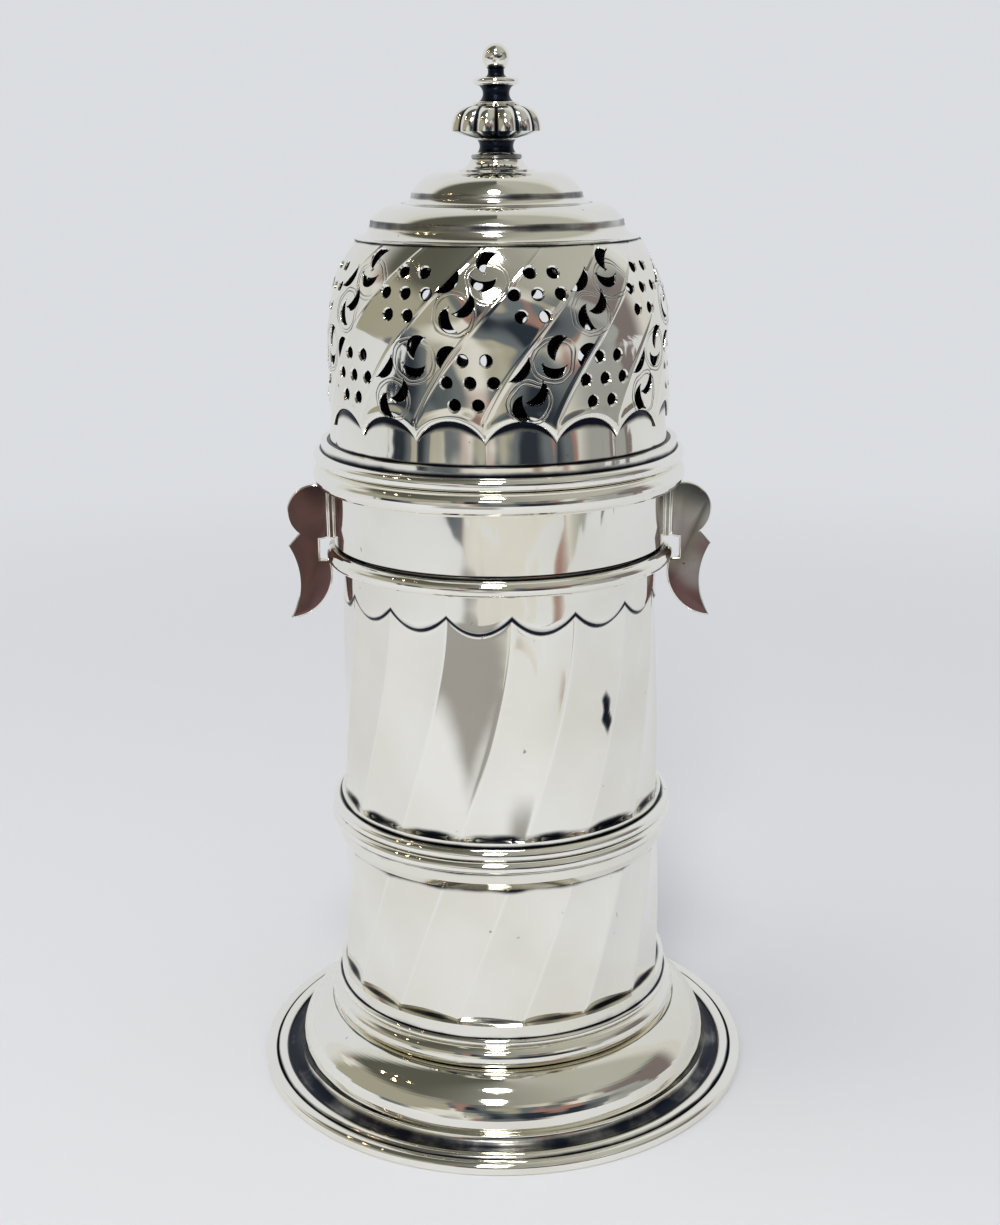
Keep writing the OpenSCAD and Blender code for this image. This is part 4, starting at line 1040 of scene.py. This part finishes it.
class CASTER_OT_drum(Operator):
    """Makes the drum of the cover, with its arches, leaning bands and piercings"""

    bl_idname = "caster.drum"
    bl_label = "Pierced drum"

    # The crescents of a motif, in scroll radii: along, up, radius, thickness, radius of the hollow and
    # its direction in degrees
    MOTIF = ((-1.45, -2.1, 1.05, 0.95, 2.5, 20), (-0.55, -0.8, 1.05, 0.85, 2, 140),
             (-2.2, 1.35, 1.25, 0.8, 9, 140), (1.1, 1.3, 1, 0.8, 1.7, 85), (1.5, 2.8, 1, 0.95, 2.3, -30))
    # The crescent that a lower motif has besides
    FILLER = (4.25, 2, 1.05, 0.9, 9, -35)
    # Points of a hole, of a crescent's back and of its hollow, and holes in the longest row of a group
    HOLE_POINTS, BACK_POINTS, BITE_POINTS, ROW_HOLES = 24, 21, 11, 3
    # How far a cut reaches in and out from the surface
    REACH = 1.6 * MM
    # Height of the turned hem under the skin
    HEM = 0.2 * MM
    # Half the height of the close rows along the arches, and the height above which the rows are level
    CLOSE, LEVEL_Z = 0.5 * MM, 126.5 * MM
    # The close rows, in half heights, and the number of rows under them, over them, up the side and above
    CLOSE_ROWS = (-1, -0.5, -0.2, -0.04, 0.04, 0.2, 0.4, 0.6, 0.8)
    PANEL_ROWS, BAND_ROWS, SIDE_ROWS, SHOULDER_ROWS = 9, 20, 16, 40
    # A face that lies deeper than this, in cut bevels, is inside the drum and gets the near-black painted
    # shade
    INSIDE_DEPTH = 1.2
    # Strength of the painted shade, with some tarnish, under an arch, and its least depth as a share of the
    # greatest
    LENS_STRENGTH, LENS_LEAST = 1.2, 0.1
    # Reach of the tarnish from the drum's foot and top, and its darkness at the top
    FOOT_MARK, TOP_MARK, TOP_DARK = 0.55 * MM, 0.5 * MM, 0.85

    def skin(self, form):
        """The drum without its cuts."""
        s, close, level_z = form.s, self.CLOSE, self.LEVEL_Z
        line_z = (form.tip_z + form.arch_top) / 2
        rows = [form.low_z, form.foot_z - self.HEM]
        rows += list(np.linspace(form.foot_z, line_z - close, self.PANEL_ROWS, endpoint=False))
        rows += [line_z + off * close for off in self.CLOSE_ROWS]
        rows += list(np.linspace(line_z + close, level_z, self.BAND_ROWS, endpoint=False))
        rows += list(np.linspace(level_z, form.shoulder_z, self.SIDE_ROWS, endpoint=False))
        rows += list(np.linspace(form.shoulder_z, form.top_z, self.SHOULDER_ROWS))
        section = [(float(form.radius(max(z, form.foot_z))), float(z)) for z in rows]
        inner_r, rise = form.arc_r - s.drum_wall, form.top_z - form.shoulder_z
        inner_top = form.mid_r + math.sqrt(inner_r ** 2 - rise ** 2)
        swing = math.degrees(math.acos((inner_top - form.mid_r) / inner_r))
        section += arc(form.mid_r, form.shoulder_z, inner_r, swing, 0, SWELL_STEPS // 2)
        section += [(form.foot_r - s.drum_wall, form.foot_z), (form.foot_r - s.drum_wall, form.low_z)]
        cusp = float(form.band_at(form.arch_top)) - form.band_angle / 2
        bm = turned(section, 2 * s.band_pairs * BAND_STEPS, start=cusp - 90, supports=())

        angle, radius, z = polar(bm)
        outer = radius > form.radius(np.maximum(z, form.foot_z)) - s.drum_wall / 2
        outer &= z > form.foot_z - self.HEM / 2
        share = form.share(angle + 90)
        arch = form.arch(share)
        panel_h, band_h = line_z - close - form.foot_z, level_z - line_z - close
        low = form.foot_z + (z - form.foot_z) * (arch - close - form.foot_z) / panel_h
        high = level_z - (level_z - z) * (level_z - arch - close) / band_h
        height = np.where(z < line_z - close, low, np.where(z < line_z + close, z - line_z + arch, high))
        height = np.where(outer & (z < level_z), height, z)
        set_polar(bm, np.where(outer, angle + form.twist(height), angle),
                  np.where(outer, form.radius(height) + form.relief(share, height), radius), height)
        return bm

    def crescent(self, radius, thick, bite, toward):
        """Outline of a disc with a bite out of it, towards a direction in degrees."""
        far = thick - radius + bite
        open_a = math.acos((radius ** 2 + far ** 2 - bite ** 2) / (2 * radius * far))
        bite_a = math.asin(radius * math.sin(open_a) / bite)
        points = [(radius * math.cos(a), radius * math.sin(a))
                  for a in np.linspace(open_a, 2 * math.pi - open_a, self.BACK_POINTS)]
        points += [(far - bite * math.cos(a), bite * math.sin(a))
                   for a in np.linspace(-bite_a, bite_a, self.BITE_POINTS)[1:-1]]
        turn = Matrix.Rotation(math.radians(toward), 2)
        return [turn @ Vector(p) for p in points]

    def punch(self, bm, outline, place, bevel):
        """Adds a closed punch of that outline, which flares at the surface."""
        middle = sum(outline, Vector((0, 0))) / len(outline)
        size = max((p - middle).length for p in outline)
        face = bm.faces.new([bm.verts.new((p.x, p.y, -self.REACH)) for p in outline])
        made = set(face.verts)
        for out, grow in ((-bevel, 0), (bevel, 2 * bevel), (self.REACH, 0)):
            moved = bmesh.ops.extrude_face_region(bm, geom=[face])["geom"]
            if out > -bevel:
                bm.faces.remove(face)
            face = next(g for g in moved if isinstance(g, bmesh.types.BMFace))
            made.update(face.verts)
            widen = 1 + grow / size
            for v in face.verts:
                v.co = (middle.x + (v.co.x - middle.x) * widen, middle.y + (v.co.y - middle.y) * widen, out)
        bmesh.ops.transform(bm, matrix=place, verts=list(made))

    def punches(self, form):
        """All the cuts of the drum, as one bmesh of closed punches."""
        s = form.s
        bm = bmesh.new()
        disc = [Vector((math.cos(a), math.sin(a))) * s.hole_r
                for a in np.linspace(0, 2 * math.pi, self.HOLE_POINTS, endpoint=False)]
        low_z, high_z = form.foot_z + s.low_motif_h, form.top_z - s.high_motif_drop
        groups = ((low_z, self.MOTIF + (self.FILLER,)), (high_z, self.MOTIF))
        for pair in range(s.band_pairs):
            for z, motif in groups:
                turn = 2 * pair * form.band_angle + form.band_at(z)
                for row in (-1, 0, 1):
                    row_z = form.up(row * s.hole_row, z)
                    row_turn = turn + s.row_follow * (form.band_at(row_z) - form.band_at(z))
                    count = self.ROW_HOLES - abs(row)
                    for k in range(count):
                        off = form.along((k - (count - 1) / 2) * s.hole_pitch, row_z)
                        self.punch(bm, disc, form.place(row_turn + off, row_z), s.cut_bevel)
                for along, up, radius, thick, bite, toward in motif:
                    cut_z = form.up(up * s.scroll_r, z)
                    cut_turn = turn + form.band_angle + form.along(along * s.scroll_r, cut_z)
                    sizes = [size * s.scroll_r for size in (radius, thick, bite)]
                    outline = self.crescent(*sizes, toward)
                    self.punch(bm, outline, form.place(cut_turn, cut_z), s.cut_bevel)
        bmesh.ops.recalc_face_normals(bm, faces=bm.faces[:])
        return bm

    def execute(self, context):
        form = DrumForm(context.scene.caster_sizes)
        skin = linked(context, "drum skin", mesh_from(self.skin(form), "drum skin"))
        punches = linked(context, "drum punches", mesh_from(self.punches(form), "drum punches"))
        pierce = skin.modifiers.new("Pierce", "BOOLEAN")
        pierce.operation, pierce.object, pierce.solver = "DIFFERENCE", punches, "MANIFOLD"
        context.view_layer.update()
        whole = skin.evaluated_get(context.evaluated_depsgraph_get())
        bm = bmesh.new()
        bm.from_mesh(whole.to_mesh())
        whole.to_mesh_clear()
        for thing in (skin, punches):
            bpy.data.objects.remove(thing)
        finish = context.scene.caster_finish
        engraved = silver_material(context, "engraved silver", finish.silver, finish.roughness, engraved=True)
        # The inside and the cut walls are painted near black as shade, with some tarnish
        inside = silver_material(context, "inside of the drum", finish.inside, INSIDE_ROUGH)
        depths = form.below(np.array([face.calc_center_median() for face in bm.faces]))
        for face, depth in zip(bm.faces, depths):
            face.material_index = int(depth > self.INSIDE_DEPTH * form.s.cut_bevel)

        def marks(co):
            """Painted shade, with some tarnish, under the arches, and tarnish along the drum's foot and top.
            """
            z = co[:, 2]
            arch = form.arch(form.share(np.degrees(front_turn(co))))
            # Painted shade, with some tarnish, under the top of each arch
            depth = np.clip((arch - form.tip_z) / form.s.arch_rise, self.LENS_LEAST, 1) * form.s.arch_shade
            lens = line_at(arch - z, depth, self.LENS_STRENGTH) * (z < arch)
            foot = line_at(z - form.foot_z, self.FOOT_MARK)
            top = self.TOP_DARK * line_at(form.top_z - z, self.TOP_MARK)
            return np.maximum.reduce([lens, foot, top])

        add_piece(context, "pierced_cover", bm, "cover", ["pierced_drum"],
                  (engraved, inside), marks)
        return {"FINISHED"}


class CASTER_OT_dome(Operator):
    """Makes the stepped dome"""

    bl_idname = "caster.dome"
    bl_label = "Dome"

    # Half the width of the tarnish at the rim and round the finial, and of the painted shade along the steps
    RIM_MARK, FINIAL_MARK, STEP_MARK = 0.35 * MM, 0.5 * MM, 0.35 * MM
    # Strength and darkness of the painted shade along the steps
    STEP_STRENGTH, STEP_DARK = 0.9, 0.62

    def execute(self, context):
        s = context.scene.caster_sizes
        low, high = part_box("dome")
        edge_r, edge_z = high.x - s.low_cove, low.z + s.dome_rim_h + s.low_cove
        flat_r, flat_z = edge_r - s.low_swell_w, edge_z + s.low_swell_h
        ledge_r = flat_r - s.dome_ledge_w
        step_r, step_z = ledge_r - s.high_cove, flat_z + s.high_cove
        crown_r, crown_h = step_r - s.high_swell_w, high.z - step_z

        def swell(top_r, top_z, wide, tall, t):
            """A swell of the dome, drawn in by t, up to its level top."""
            radius = (wide * wide + tall * tall) / (2 * tall)
            lift = math.degrees(math.atan2(radius - tall, wide))
            return arc(top_r, top_z - radius, radius - t, lift, 90, SWELL_STEPS)

        def form(t):
            """The dome's surface, drawn in by t, from its rim to its crown."""
            points = arc(high.x, edge_z, s.low_cove + t, 270, 180, REED_STEPS)
            points += swell(flat_r, flat_z, s.low_swell_w, s.low_swell_h, t)
            points += arc(ledge_r, step_z, s.high_cove + t, 270, 180, REED_STEPS)
            return points + swell(crown_r, high.z, s.high_swell_w, crown_h, t)

        inside = [p for p in form(s.dome_wall) if p[1] > low.z + s.dome_rim_h]
        section = [(high.x - s.dome_rim_w, low.z), (high.x, low.z), *form(0), (s.stud_r, high.z),
                   (s.stud_r, high.z - s.dome_wall), *inside[::-1]]

        def marks(co):
            """Tarnish at the rim and round the finial, and painted shade along the steps."""
            out, z = from_axis(co), co[:, 2]
            rim = line_at(z - low.z, self.RIM_MARK)
            finial = line_at(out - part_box("finial_foot")[1].x, self.FINIAL_MARK)
            # Painted shade along the steps of the dome
            steps = np.min([np.abs(out - r) for r in (step_r, ledge_r, edge_r)], axis=0)
            line = line_at(steps, self.STEP_MARK, self.STEP_STRENGTH, self.STEP_DARK)
            line *= z > low.z + s.dome_rim_h + s.low_cove / 2
            return np.maximum.reduce([rim, finial, line])

        polished_piece(context, "stepped_dome", turned(section), "cover", "dome", marks)
        return {"FINISHED"}


class CASTER_OT_finial(Operator):
    """Makes the finial: its foot, the gadrooned knop and the spire with its ball"""

    bl_idname = "caster.finial"
    bl_label = "Finial"

    # Strength of the tarnish between the lobes, and how far it reaches, as a share of a lobe's height
    VALLEY_STRENGTH, VALLEY_HALF = 1.15, 0.5
    # Darkness of the painted shade on the necks, of the darker bead on the foot and of the painted shade on
    # the knop's underside
    NECK_DARK, BEAD_DARK, UNDER_DARK = 0.85, 0.62, 0.9
    # How far inside the spire's collar, inside the waist's ends and under the knop's edge the painted shade
    # sets in
    NECK_START, WAIST_START, UNDER_START = (0.3 * MM, 1.1 * MM), (0, 0.5 * MM), (0, 0.3 * MM)
    # Height of the bright top of the spire, in ball radii
    BRIGHT_TOP = 1.7

    def foot(self, s):
        """The flared foot with its bead and its waist."""
        low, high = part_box("finial_foot")
        bead_z = low.z + s.finial_flare_h
        waist_z = bead_z + s.finial_bead_h
        swing = math.degrees(math.asin(s.finial_lip / s.finial_flare_h))
        section = [(s.stud_r, low.z), (high.x, low.z)]
        section += arc(high.x, bead_z + s.finial_lip, s.finial_flare_h, 270, 180 + swing, REED_STEPS)
        section += half_round(s.finial_bead_r, bead_z, s.finial_bead_h)
        section += waist(waist_z, high.z - waist_z, s.waist_wide_r, s.waist_r)
        return turned(section + [(s.stud_r, high.z)])

    def knop(self, s):
        """The knop with its lobes."""
        low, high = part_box("finial_knop")
        wide_r, wide_z = s.knop_r, low.z + s.knop_low_h
        top_a = math.acos((s.spire_foot_r / wide_r) ** (1 / s.knop_full))
        tall = (high.z - wide_z) / math.sin(top_a)
        section = [(s.stud_r, low.z), (s.waist_wide_r, low.z)]
        section += [(wide_r * math.cos(a) ** s.knop_full, wide_z + tall * math.sin(a))
                    for a in np.linspace(0, top_a, 2 * SWELL_STEPS)]
        bm = turned(section + [(s.stud_r, high.z)], s.knop_lobes * LOBE_STEPS)
        angle, radius, z = polar(bm)
        cut = 1 - s.knop_cut * (1 - self.lobe(s, np.radians(angle)))
        set_polar(bm, angle, np.where(radius > 2 * s.stud_r, radius * cut, radius), z)
        return bm

    def lobe(self, s, angle):
        """Height of the lobes at an angle in radians, from 0 in a valley to 1."""
        return np.abs(np.sin(angle * s.knop_lobes / 2))

    def spire(self, s):
        """The spire: collar, neck, flange, upper neck and ball."""
        low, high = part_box("finial_spire")
        bore_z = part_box("finial_stud")[1].z
        neck_z = low.z + s.spire_foot_h
        flange_z = neck_z + s.spire_neck_h
        top_z = flange_z + s.flange_h
        swing = math.degrees(math.acos(s.top_neck_r / s.ball_r))
        section = [(0, bore_z), (s.stud_r, bore_z), (s.stud_r, low.z)]
        section += half_round(s.spire_foot_r, low.z, s.spire_foot_h)
        section += waist(neck_z, s.spire_neck_h, s.spire_neck_wide_r, s.spire_neck_r)
        section += half_round(high.x, flange_z, s.flange_h)
        section += arc(s.top_neck_r + s.top_cove, top_z + s.top_cove, s.top_cove, 270, 180, REED_STEPS)
        section += arc(0, high.z - s.ball_r, s.ball_r, -swing, 90, SWELL_STEPS)
        return turned(section, closed=False)

    def execute(self, context):
        s = context.scene.caster_sizes
        knop_low, knop_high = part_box("finial_knop")
        bead_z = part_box("finial_foot")[0].z + s.finial_flare_h
        bright_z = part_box("finial_spire")[1].z - self.BRIGHT_TOP * s.ball_r

        def marks(co):
            """Painted shade on the necks and under the knop, a darker bead, and tarnish between the knop's
            lobes.
            """
            out, z = from_axis(co), co[:, 2]
            on_knop = (z > knop_low.z) & (z < knop_high.z)
            lobe = self.lobe(s, np.arctan2(co[:, 1], co[:, 0]))
            valley = line_at(lobe, self.VALLEY_HALF, self.VALLEY_STRENGTH) * on_knop
            # Painted shade under the knop and on the necks
            under = self.UNDER_DARK * ramp(knop_low.z + s.knop_low_h - z, *self.UNDER_START) * on_knop
            neck = self.NECK_DARK * ramp(s.spire_foot_r - out, *self.NECK_START)
            neck *= (z > knop_high.z) & (z < bright_z)
            hollow = self.NECK_DARK * ramp(s.waist_wide_r - out, *self.WAIST_START) * (z < knop_low.z)
            bead = self.BEAD_DARK * ((z > bead_z) & (z < bead_z + s.finial_bead_h))
            return np.maximum.reduce([valley, under, neck, hollow, bead])

        for name, make, node in (("finial_base", self.foot, "finial_foot"),
                                 ("gadrooned_knop", self.knop, "finial_knop"),
                                 ("ball_spire", self.spire, "finial_spire")):
            polished_piece(context, name, make(s), "cover", node, marks)
        return {"FINISHED"}


class CASTER_OT_fixings(Operator):
    """Makes the stud, the washer and the nut that hold the finial"""

    bl_idname = "caster.fixings"
    bl_label = "Fixings"

    STUD_STEPS, WASHER_STEPS, NUT_SIDES = 48, 96, 6

    def execute(self, context):
        s = context.scene.caster_sizes
        dull_piece(context, "finial_rod", rod("finial_stud", self.STUD_STEPS), "cover", "finial_stud")
        for name, node, body, steps in (("loose_washer", "finial_washer", "cover_carrier", self.WASHER_STEPS),
                                        ("hex_nut", "finial_nut", "cover", self.NUT_SIDES)):
            low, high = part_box(node)
            e = s.fixing_bevel
            section = [(s.stud_r, low.z), (high.x - e, low.z), (high.x, low.z + e), (high.x, high.z - e),
                       (high.x - e, high.z), (s.stud_r, high.z)]
            dull_piece(context, name, turned(section, steps), body, node)
        return {"FINISHED"}


class CASTER_OT_stage(Operator):
    """Makes the floor, the backdrop, the lamps, the room that the silver reflects and the camera"""

    bl_idname = "caster.stage"
    bl_label = "Stage"

    # The floor and the backdrop: half their width, the floor's front and back, radius and points of the
    # sweep, and the top
    HALF_W, FRONT, BACK, SWEEP, SWEEP_POINTS, TOP = 3.0, -3.0, 0.9, 0.6, 24, 2.6
    # The camera: place, tilt and roll in degrees, focal length and sensor in millimetres, and clip distances
    CAMERA_PLACE, CAMERA_TILT, CAMERA_ROLL = (0, -0.28649, 0.16472), 15.84, -0.43
    LENS, SENSOR_W, CLIP = 49.85, 36.0, (0.01, 20)
    # The lamps: name, size, power, colour, distance, turn from the front and lift in degrees, and if the
    # silver shows it
    WHITE, WARM = (1.0, 0.98, 0.95), (1.0, 0.72, 0.42)
    LAMPS = (("window lamp", 0.9, 2.4, WHITE, 1.25, -80, 58, False),
             ("high lamp", 0.2, 2.3, WHITE, 1.05, -6, 62, True),
             ("low lamp", 0.22, 2.3, WHITE, 1.05, -6, 36, True),
             ("warm lamp one", 0.03, 0.1, WARM, 1.1, -84, 38, True),
             ("warm lamp two", 0.025, 0.08, WARM, 1.1, -78, 44, True),
             ("warm lamp three", 0.03, 0.1, WARM, 1.1, -72, 36, True),
             ("warm lamp four", 0.02, 0.06, WARM, 1.1, -66, 43, True))
    # Height at which the lamps look
    LOOK_Z = 0.08
    FLOOR_ROUGH, FLOOR_SPECULAR = 0.9, 0.1
    # Distances from the object over which the floor fades into the backdrop's colour
    FADE = (0.2, 0.55)
    # Where the floor ends for the silver, how its end slants on the right, and how far it wanders
    FLOOR_EDGE, EDGE_SLANT, EDGE_WANDER = 0.42, 0.36, 1.0
    # Stretch of the wander along the edge, and its scale and detail
    WANDER_STRETCH, WANDER_NOISE = (0.3, 1, 1), (8.0, 3.0)
    # The painted shadow of the camera on the floor, a dim strip that only the silver mirrors: its middle,
    # half its width and length, and the shares of them over which it fades
    STRIP_X, STRIP_Y, STRIP_HALF_W, STRIP_HALF_L, STRIP_FADE = -0.085, -0.30, 0.09, 0.1, (0.7, 1.2)
    # The tones of the painted camera shadow, the ceiling, its dim corner, the rear and the light that fills
    # the shadows
    STRIP_COLOUR, CEILING, CORNER = (0.36, 0.35, 0.34), (0.46, 0.46, 0.41), (0.1, 0.1, 0.08)
    REAR, FILL = (0.68, 0.68, 0.66), (0.69, 0.69, 0.7)
    # The tones of the things that stand in the room
    DEEP, SLATE, BROWN = (0.025, 0.032, 0.045), (0.14, 0.16, 0.175), (0.32, 0.19, 0.16)
    OLIVE, CREAM = (0.36, 0.345, 0.27), (0.72, 0.71, 0.67)
    # The pattern of the things: its stretch round the room and upwards, its two levels, and its scale,
    # detail and distortion
    PATTERN_ROUND, PATTERN_UP, PATTERN_LEVELS, PATTERN_NOISE = 1.8, 2.4, (0.0, 7.0), (0.75, 1.5, 0.5)
    # Ranges of the pattern over which a tone gives way to slate, brown, cream and the pale tones
    TO_SLATE, TO_BROWN, TO_CREAM, TO_PALE = (0.38, 0.47), (0.49, 0.54), (0.45, 0.55), (0.48, 0.52)
    # Turns to the right, in radians, over which the things grow grey, and by what share
    GREY_TURN, GREY_SHARE = (0.75, 1.15), 0.65
    # Turns over which the ceiling lightens, lifts over which it begins, and where the front begins
    CEILING_TURN, CEILING_LIFT, FRONT_START = (-1.2, 1.2), (0.42, 0.62), (-0.35, -0.15)

    def backdrop(self, context):
        """A floor that sweeps up into a backdrop."""
        bm = bmesh.new()
        profile = [(self.FRONT, 0.0)]
        profile += [(self.BACK + self.SWEEP * math.sin(a), self.SWEEP * (1 - math.cos(a)))
                    for a in np.linspace(0, math.pi / 2, self.SWEEP_POINTS)]
        profile.append((self.BACK + self.SWEEP, self.TOP))
        verts = [bm.verts.new((-self.HALF_W, y, z)) for y, z in profile]
        edges = [bm.edges.new(pair) for pair in zip(verts, verts[1:])]
        moved = bmesh.ops.extrude_edge_only(bm, edges=edges)["geom"]
        bmesh.ops.translate(bm, verts=[g for g in moved if isinstance(g, bmesh.types.BMVert)],
                            vec=(2 * self.HALF_W, 0, 0))
        bmesh.ops.recalc_face_normals(bm, faces=bm.faces[:])
        if next(iter(bm.faces)).normal.z < 0:
            bmesh.ops.reverse_faces(bm, faces=bm.faces[:])
        mesh = mesh_from(bm, "backdrop")
        mesh.shade_smooth()
        mesh.materials.append(self.floor_material(context))
        floor = linked(context, "backdrop", mesh)

    def paths(self, tree):
        """Masks of what the camera sees and of what the silver mirrors."""
        path = tree.nodes.new("ShaderNodeLightPath").outputs
        mirrored = maths(tree, "MAXIMUM", path["Is Glossy Ray"], path["Is Transmission Ray"])
        return path["Is Camera Ray"], mirrored

    def near(self, tree, value, middle, half):
        """A mask of the places within half a width of a middle, with soft edges."""
        off = maths(tree, "ABSOLUTE", maths(tree, "SUBTRACT", value, middle))
        start, end = self.STRIP_FADE
        return smooth(tree, off, start * half, end * half, 1.0, 0.0)

    def floor_material(self, context):
        """A pale floor that fades into the backdrop, with a painted shadow of the camera that only the silver
        mirrors, and that ends in front of the room for the silver.
        """
        finish = context.scene.caster_finish
        material = bpy.data.materials.new("pale floor")
        material.use_nodes = True
        tree = material.node_tree
        shader = tree.nodes["Principled BSDF"]
        shader.inputs["Base Color"].default_value = (*finish.floor, 1.0)
        shader.inputs["Roughness"].default_value = self.FLOOR_ROUGH
        shader.inputs["Specular IOR Level"].default_value = self.FLOOR_SPECULAR
        floor_place = tree.nodes.new("ShaderNodeTexCoord").outputs["Object"]
        x, y, _ = wired(tree, "ShaderNodeSeparateXYZ", {0: floor_place}).outputs
        by_camera, mirrored = self.paths(tree)
        seen = maths(tree, "MAXIMUM", by_camera, mirrored)
        far = maths(tree, "MULTIPLY", smooth(tree, span(tree, x, y), *self.FADE), seen)
        # Painted shadow of the camera, shown only to the silver's mirrored rays
        strip = maths(tree, "MULTIPLY", self.near(tree, x, self.STRIP_X, self.STRIP_HALF_W),
                      self.near(tree, y, self.STRIP_Y, self.STRIP_HALF_L))
        strip = maths(tree, "MULTIPLY", strip, mirrored)
        slant = maths(tree, "MULTIPLY", maths(tree, "MAXIMUM", x, 0.0), self.EDGE_SLANT)
        broad = vector(tree, "MULTIPLY", floor_place, self.WANDER_STRETCH)
        wander = maths(tree, "SUBTRACT", noise(tree, broad, *self.WANDER_NOISE)["Fac"], 0.5)
        slant = maths(tree, "MULTIPLY_ADD", wander, self.EDGE_WANDER, slant)
        past = maths(tree, "GREATER_THAN", maths(tree, "SUBTRACT", slant, y), self.FLOOR_EDGE)
        front = maths(tree, "MULTIPLY", past, mirrored)
        surface = shader.outputs[0]
        for factor, tone in ((far, finish.floor), (strip, self.STRIP_COLOUR), (front, None)):
            if tone:
                layer = wired(tree, "ShaderNodeEmission", {"Color": (*tone, 1.0)})
            else:
                layer = tree.nodes.new("ShaderNodeBsdfTransparent")
            layers = {0: factor, 1: surface, 2: layer.outputs[0]}
            surface = wired(tree, "ShaderNodeMixShader", layers).outputs[0]
        tree.links.new(surface, tree.nodes["Material Output"].inputs["Surface"])
        return material

    def room(self, context):
        """A world that is pale to the camera, and for the silver a dim furnished room with a pale rear."""
        world = bpy.data.worlds.new("room")
        context.scene.world = world
        world.use_nodes = True
        tree = world.node_tree
        way = tree.nodes.new("ShaderNodeTexCoord").outputs["Generated"]
        x, y, z = wired(tree, "ShaderNodeSeparateXYZ", {0: way}).outputs
        forward = maths(tree, "MULTIPLY", y, -1.0)
        azimuth = maths(tree, "ARCTAN2", x, forward)
        height = maths(tree, "ARCSINE", z)
        shades = []
        for level in self.PATTERN_LEVELS:
            place = {0: maths(tree, "MULTIPLY", azimuth, self.PATTERN_ROUND),
                     1: maths(tree, "MULTIPLY", height, self.PATTERN_UP), 2: level}
            grid = wired(tree, "ShaderNodeCombineXYZ", place).outputs[0]
            shades.append(noise(tree, grid, *self.PATTERN_NOISE)["Fac"])
        dark = blend(tree, smooth(tree, shades[0], *self.TO_SLATE), self.DEEP, self.SLATE)
        dark = blend(tree, smooth(tree, shades[1], *self.TO_BROWN), dark, self.BROWN)
        pale = blend(tree, smooth(tree, shades[1], *self.TO_CREAM), self.OLIVE, self.CREAM)
        things = blend(tree, smooth(tree, shades[0], *self.TO_PALE), dark, pale)
        grey = smooth(tree, azimuth, *self.GREY_TURN, 0.0, self.GREY_SHARE)
        things = blend(tree, grey, things, self.SLATE)
        above = blend(tree, smooth(tree, azimuth, *self.CEILING_TURN), self.CORNER, self.CEILING)
        inside = blend(tree, smooth(tree, height, *self.CEILING_LIFT), things, above)
        mirror = blend(tree, smooth(tree, forward, *self.FRONT_START), self.REAR, inside)
        by_camera, mirrored = self.paths(tree)
        shown = blend(tree, mirrored, self.FILL, mirror)
        shown = blend(tree, by_camera, shown, context.scene.caster_finish.floor)
        tree.links.new(shown, tree.nodes["Background"].inputs["Color"])

    def lamps(self, context):
        """The lamps, each turned to the object."""
        middle = Vector((0, 0, self.LOOK_Z))
        for name, size, power, tone, distance, turn, lift, shown in self.LAMPS:
            data = bpy.data.lights.new(name, "AREA")
            data.shape, data.size, data.energy, data.color = "DISK", size, power, tone
            lamp = linked(context, name, data)
            away = Matrix.Rotation(math.radians(turn), 3, "Z") @ Matrix.Rotation(-math.radians(lift), 3, "X")
            away = away @ Vector((0, -distance, 0))
            lamp.location = middle + away
            lamp.rotation_mode = "QUATERNION"
            lamp.rotation_quaternion = (-away).to_track_quat("-Z", "Y")
            lamp.visible_glossy = shown

    def camera(self, context):
        """The camera that the photograph was taken from."""
        data = bpy.data.cameras.new("camera")
        data.sensor_width, data.lens = self.SENSOR_W, self.LENS
        data.clip_start, data.clip_end = self.CLIP
        camera = linked(context, "camera", data)
        camera.matrix_world = (Matrix.Translation(self.CAMERA_PLACE)
                               @ Matrix.Rotation(math.radians(90 - self.CAMERA_TILT), 4, "X")
                               @ Matrix.Rotation(math.radians(self.CAMERA_ROLL), 4, "Z"))
        context.scene.camera = camera

    def execute(self, context):
        self.backdrop(context)
        self.room(context)
        self.lamps(context)
        self.camera(context)
        context.scene.view_settings.view_transform = "Standard"
        return {"FINISHED"}


class VIEW3D_PT_caster(Panel):
    """Panel with the pieces of the caster"""

    bl_label = "Sugar caster"
    bl_idname = "VIEW3D_PT_caster"
    bl_space_type = "VIEW_3D"
    bl_region_type = "UI"
    bl_category = "Caster"

    def draw(self, context):
        for operator in OPERATORS:
            self.layout.operator(operator.bl_idname)
        for group in (context.scene.caster_sizes, context.scene.caster_finish):
            column = self.layout.column()
            for name in type(group).__annotations__:
                column.prop(group, name)


OPERATORS = (CASTER_OT_foot, CASTER_OT_wires, CASTER_OT_barrel, CASTER_OT_collar, CASTER_OT_lugs,
             CASTER_OT_drum, CASTER_OT_dome, CASTER_OT_finial, CASTER_OT_fixings, CASTER_OT_stage)
CLASSES = (CasterSizes, CasterFinish, *OPERATORS, VIEW3D_PT_caster)


def register():
    for cls in CLASSES:
        bpy.utils.register_class(cls)
    bpy.types.Scene.caster_sizes = PointerProperty(type=CasterSizes)
    bpy.types.Scene.caster_finish = PointerProperty(type=CasterFinish)


def unregister():
    del bpy.types.Scene.caster_finish
    del bpy.types.Scene.caster_sizes
    for cls in reversed(CLASSES):
        bpy.utils.unregister_class(cls)


def main():
    register()
    bpy.ops.caster.foot()
    bpy.ops.caster.wires()
    bpy.ops.caster.barrel()
    bpy.ops.caster.collar()
    bpy.ops.caster.lugs()
    bpy.ops.caster.drum()
    bpy.ops.caster.dome()
    bpy.ops.caster.finial()
    bpy.ops.caster.fixings()
    bpy.ops.caster.stage()


if __name__ == "__main__":
    main()
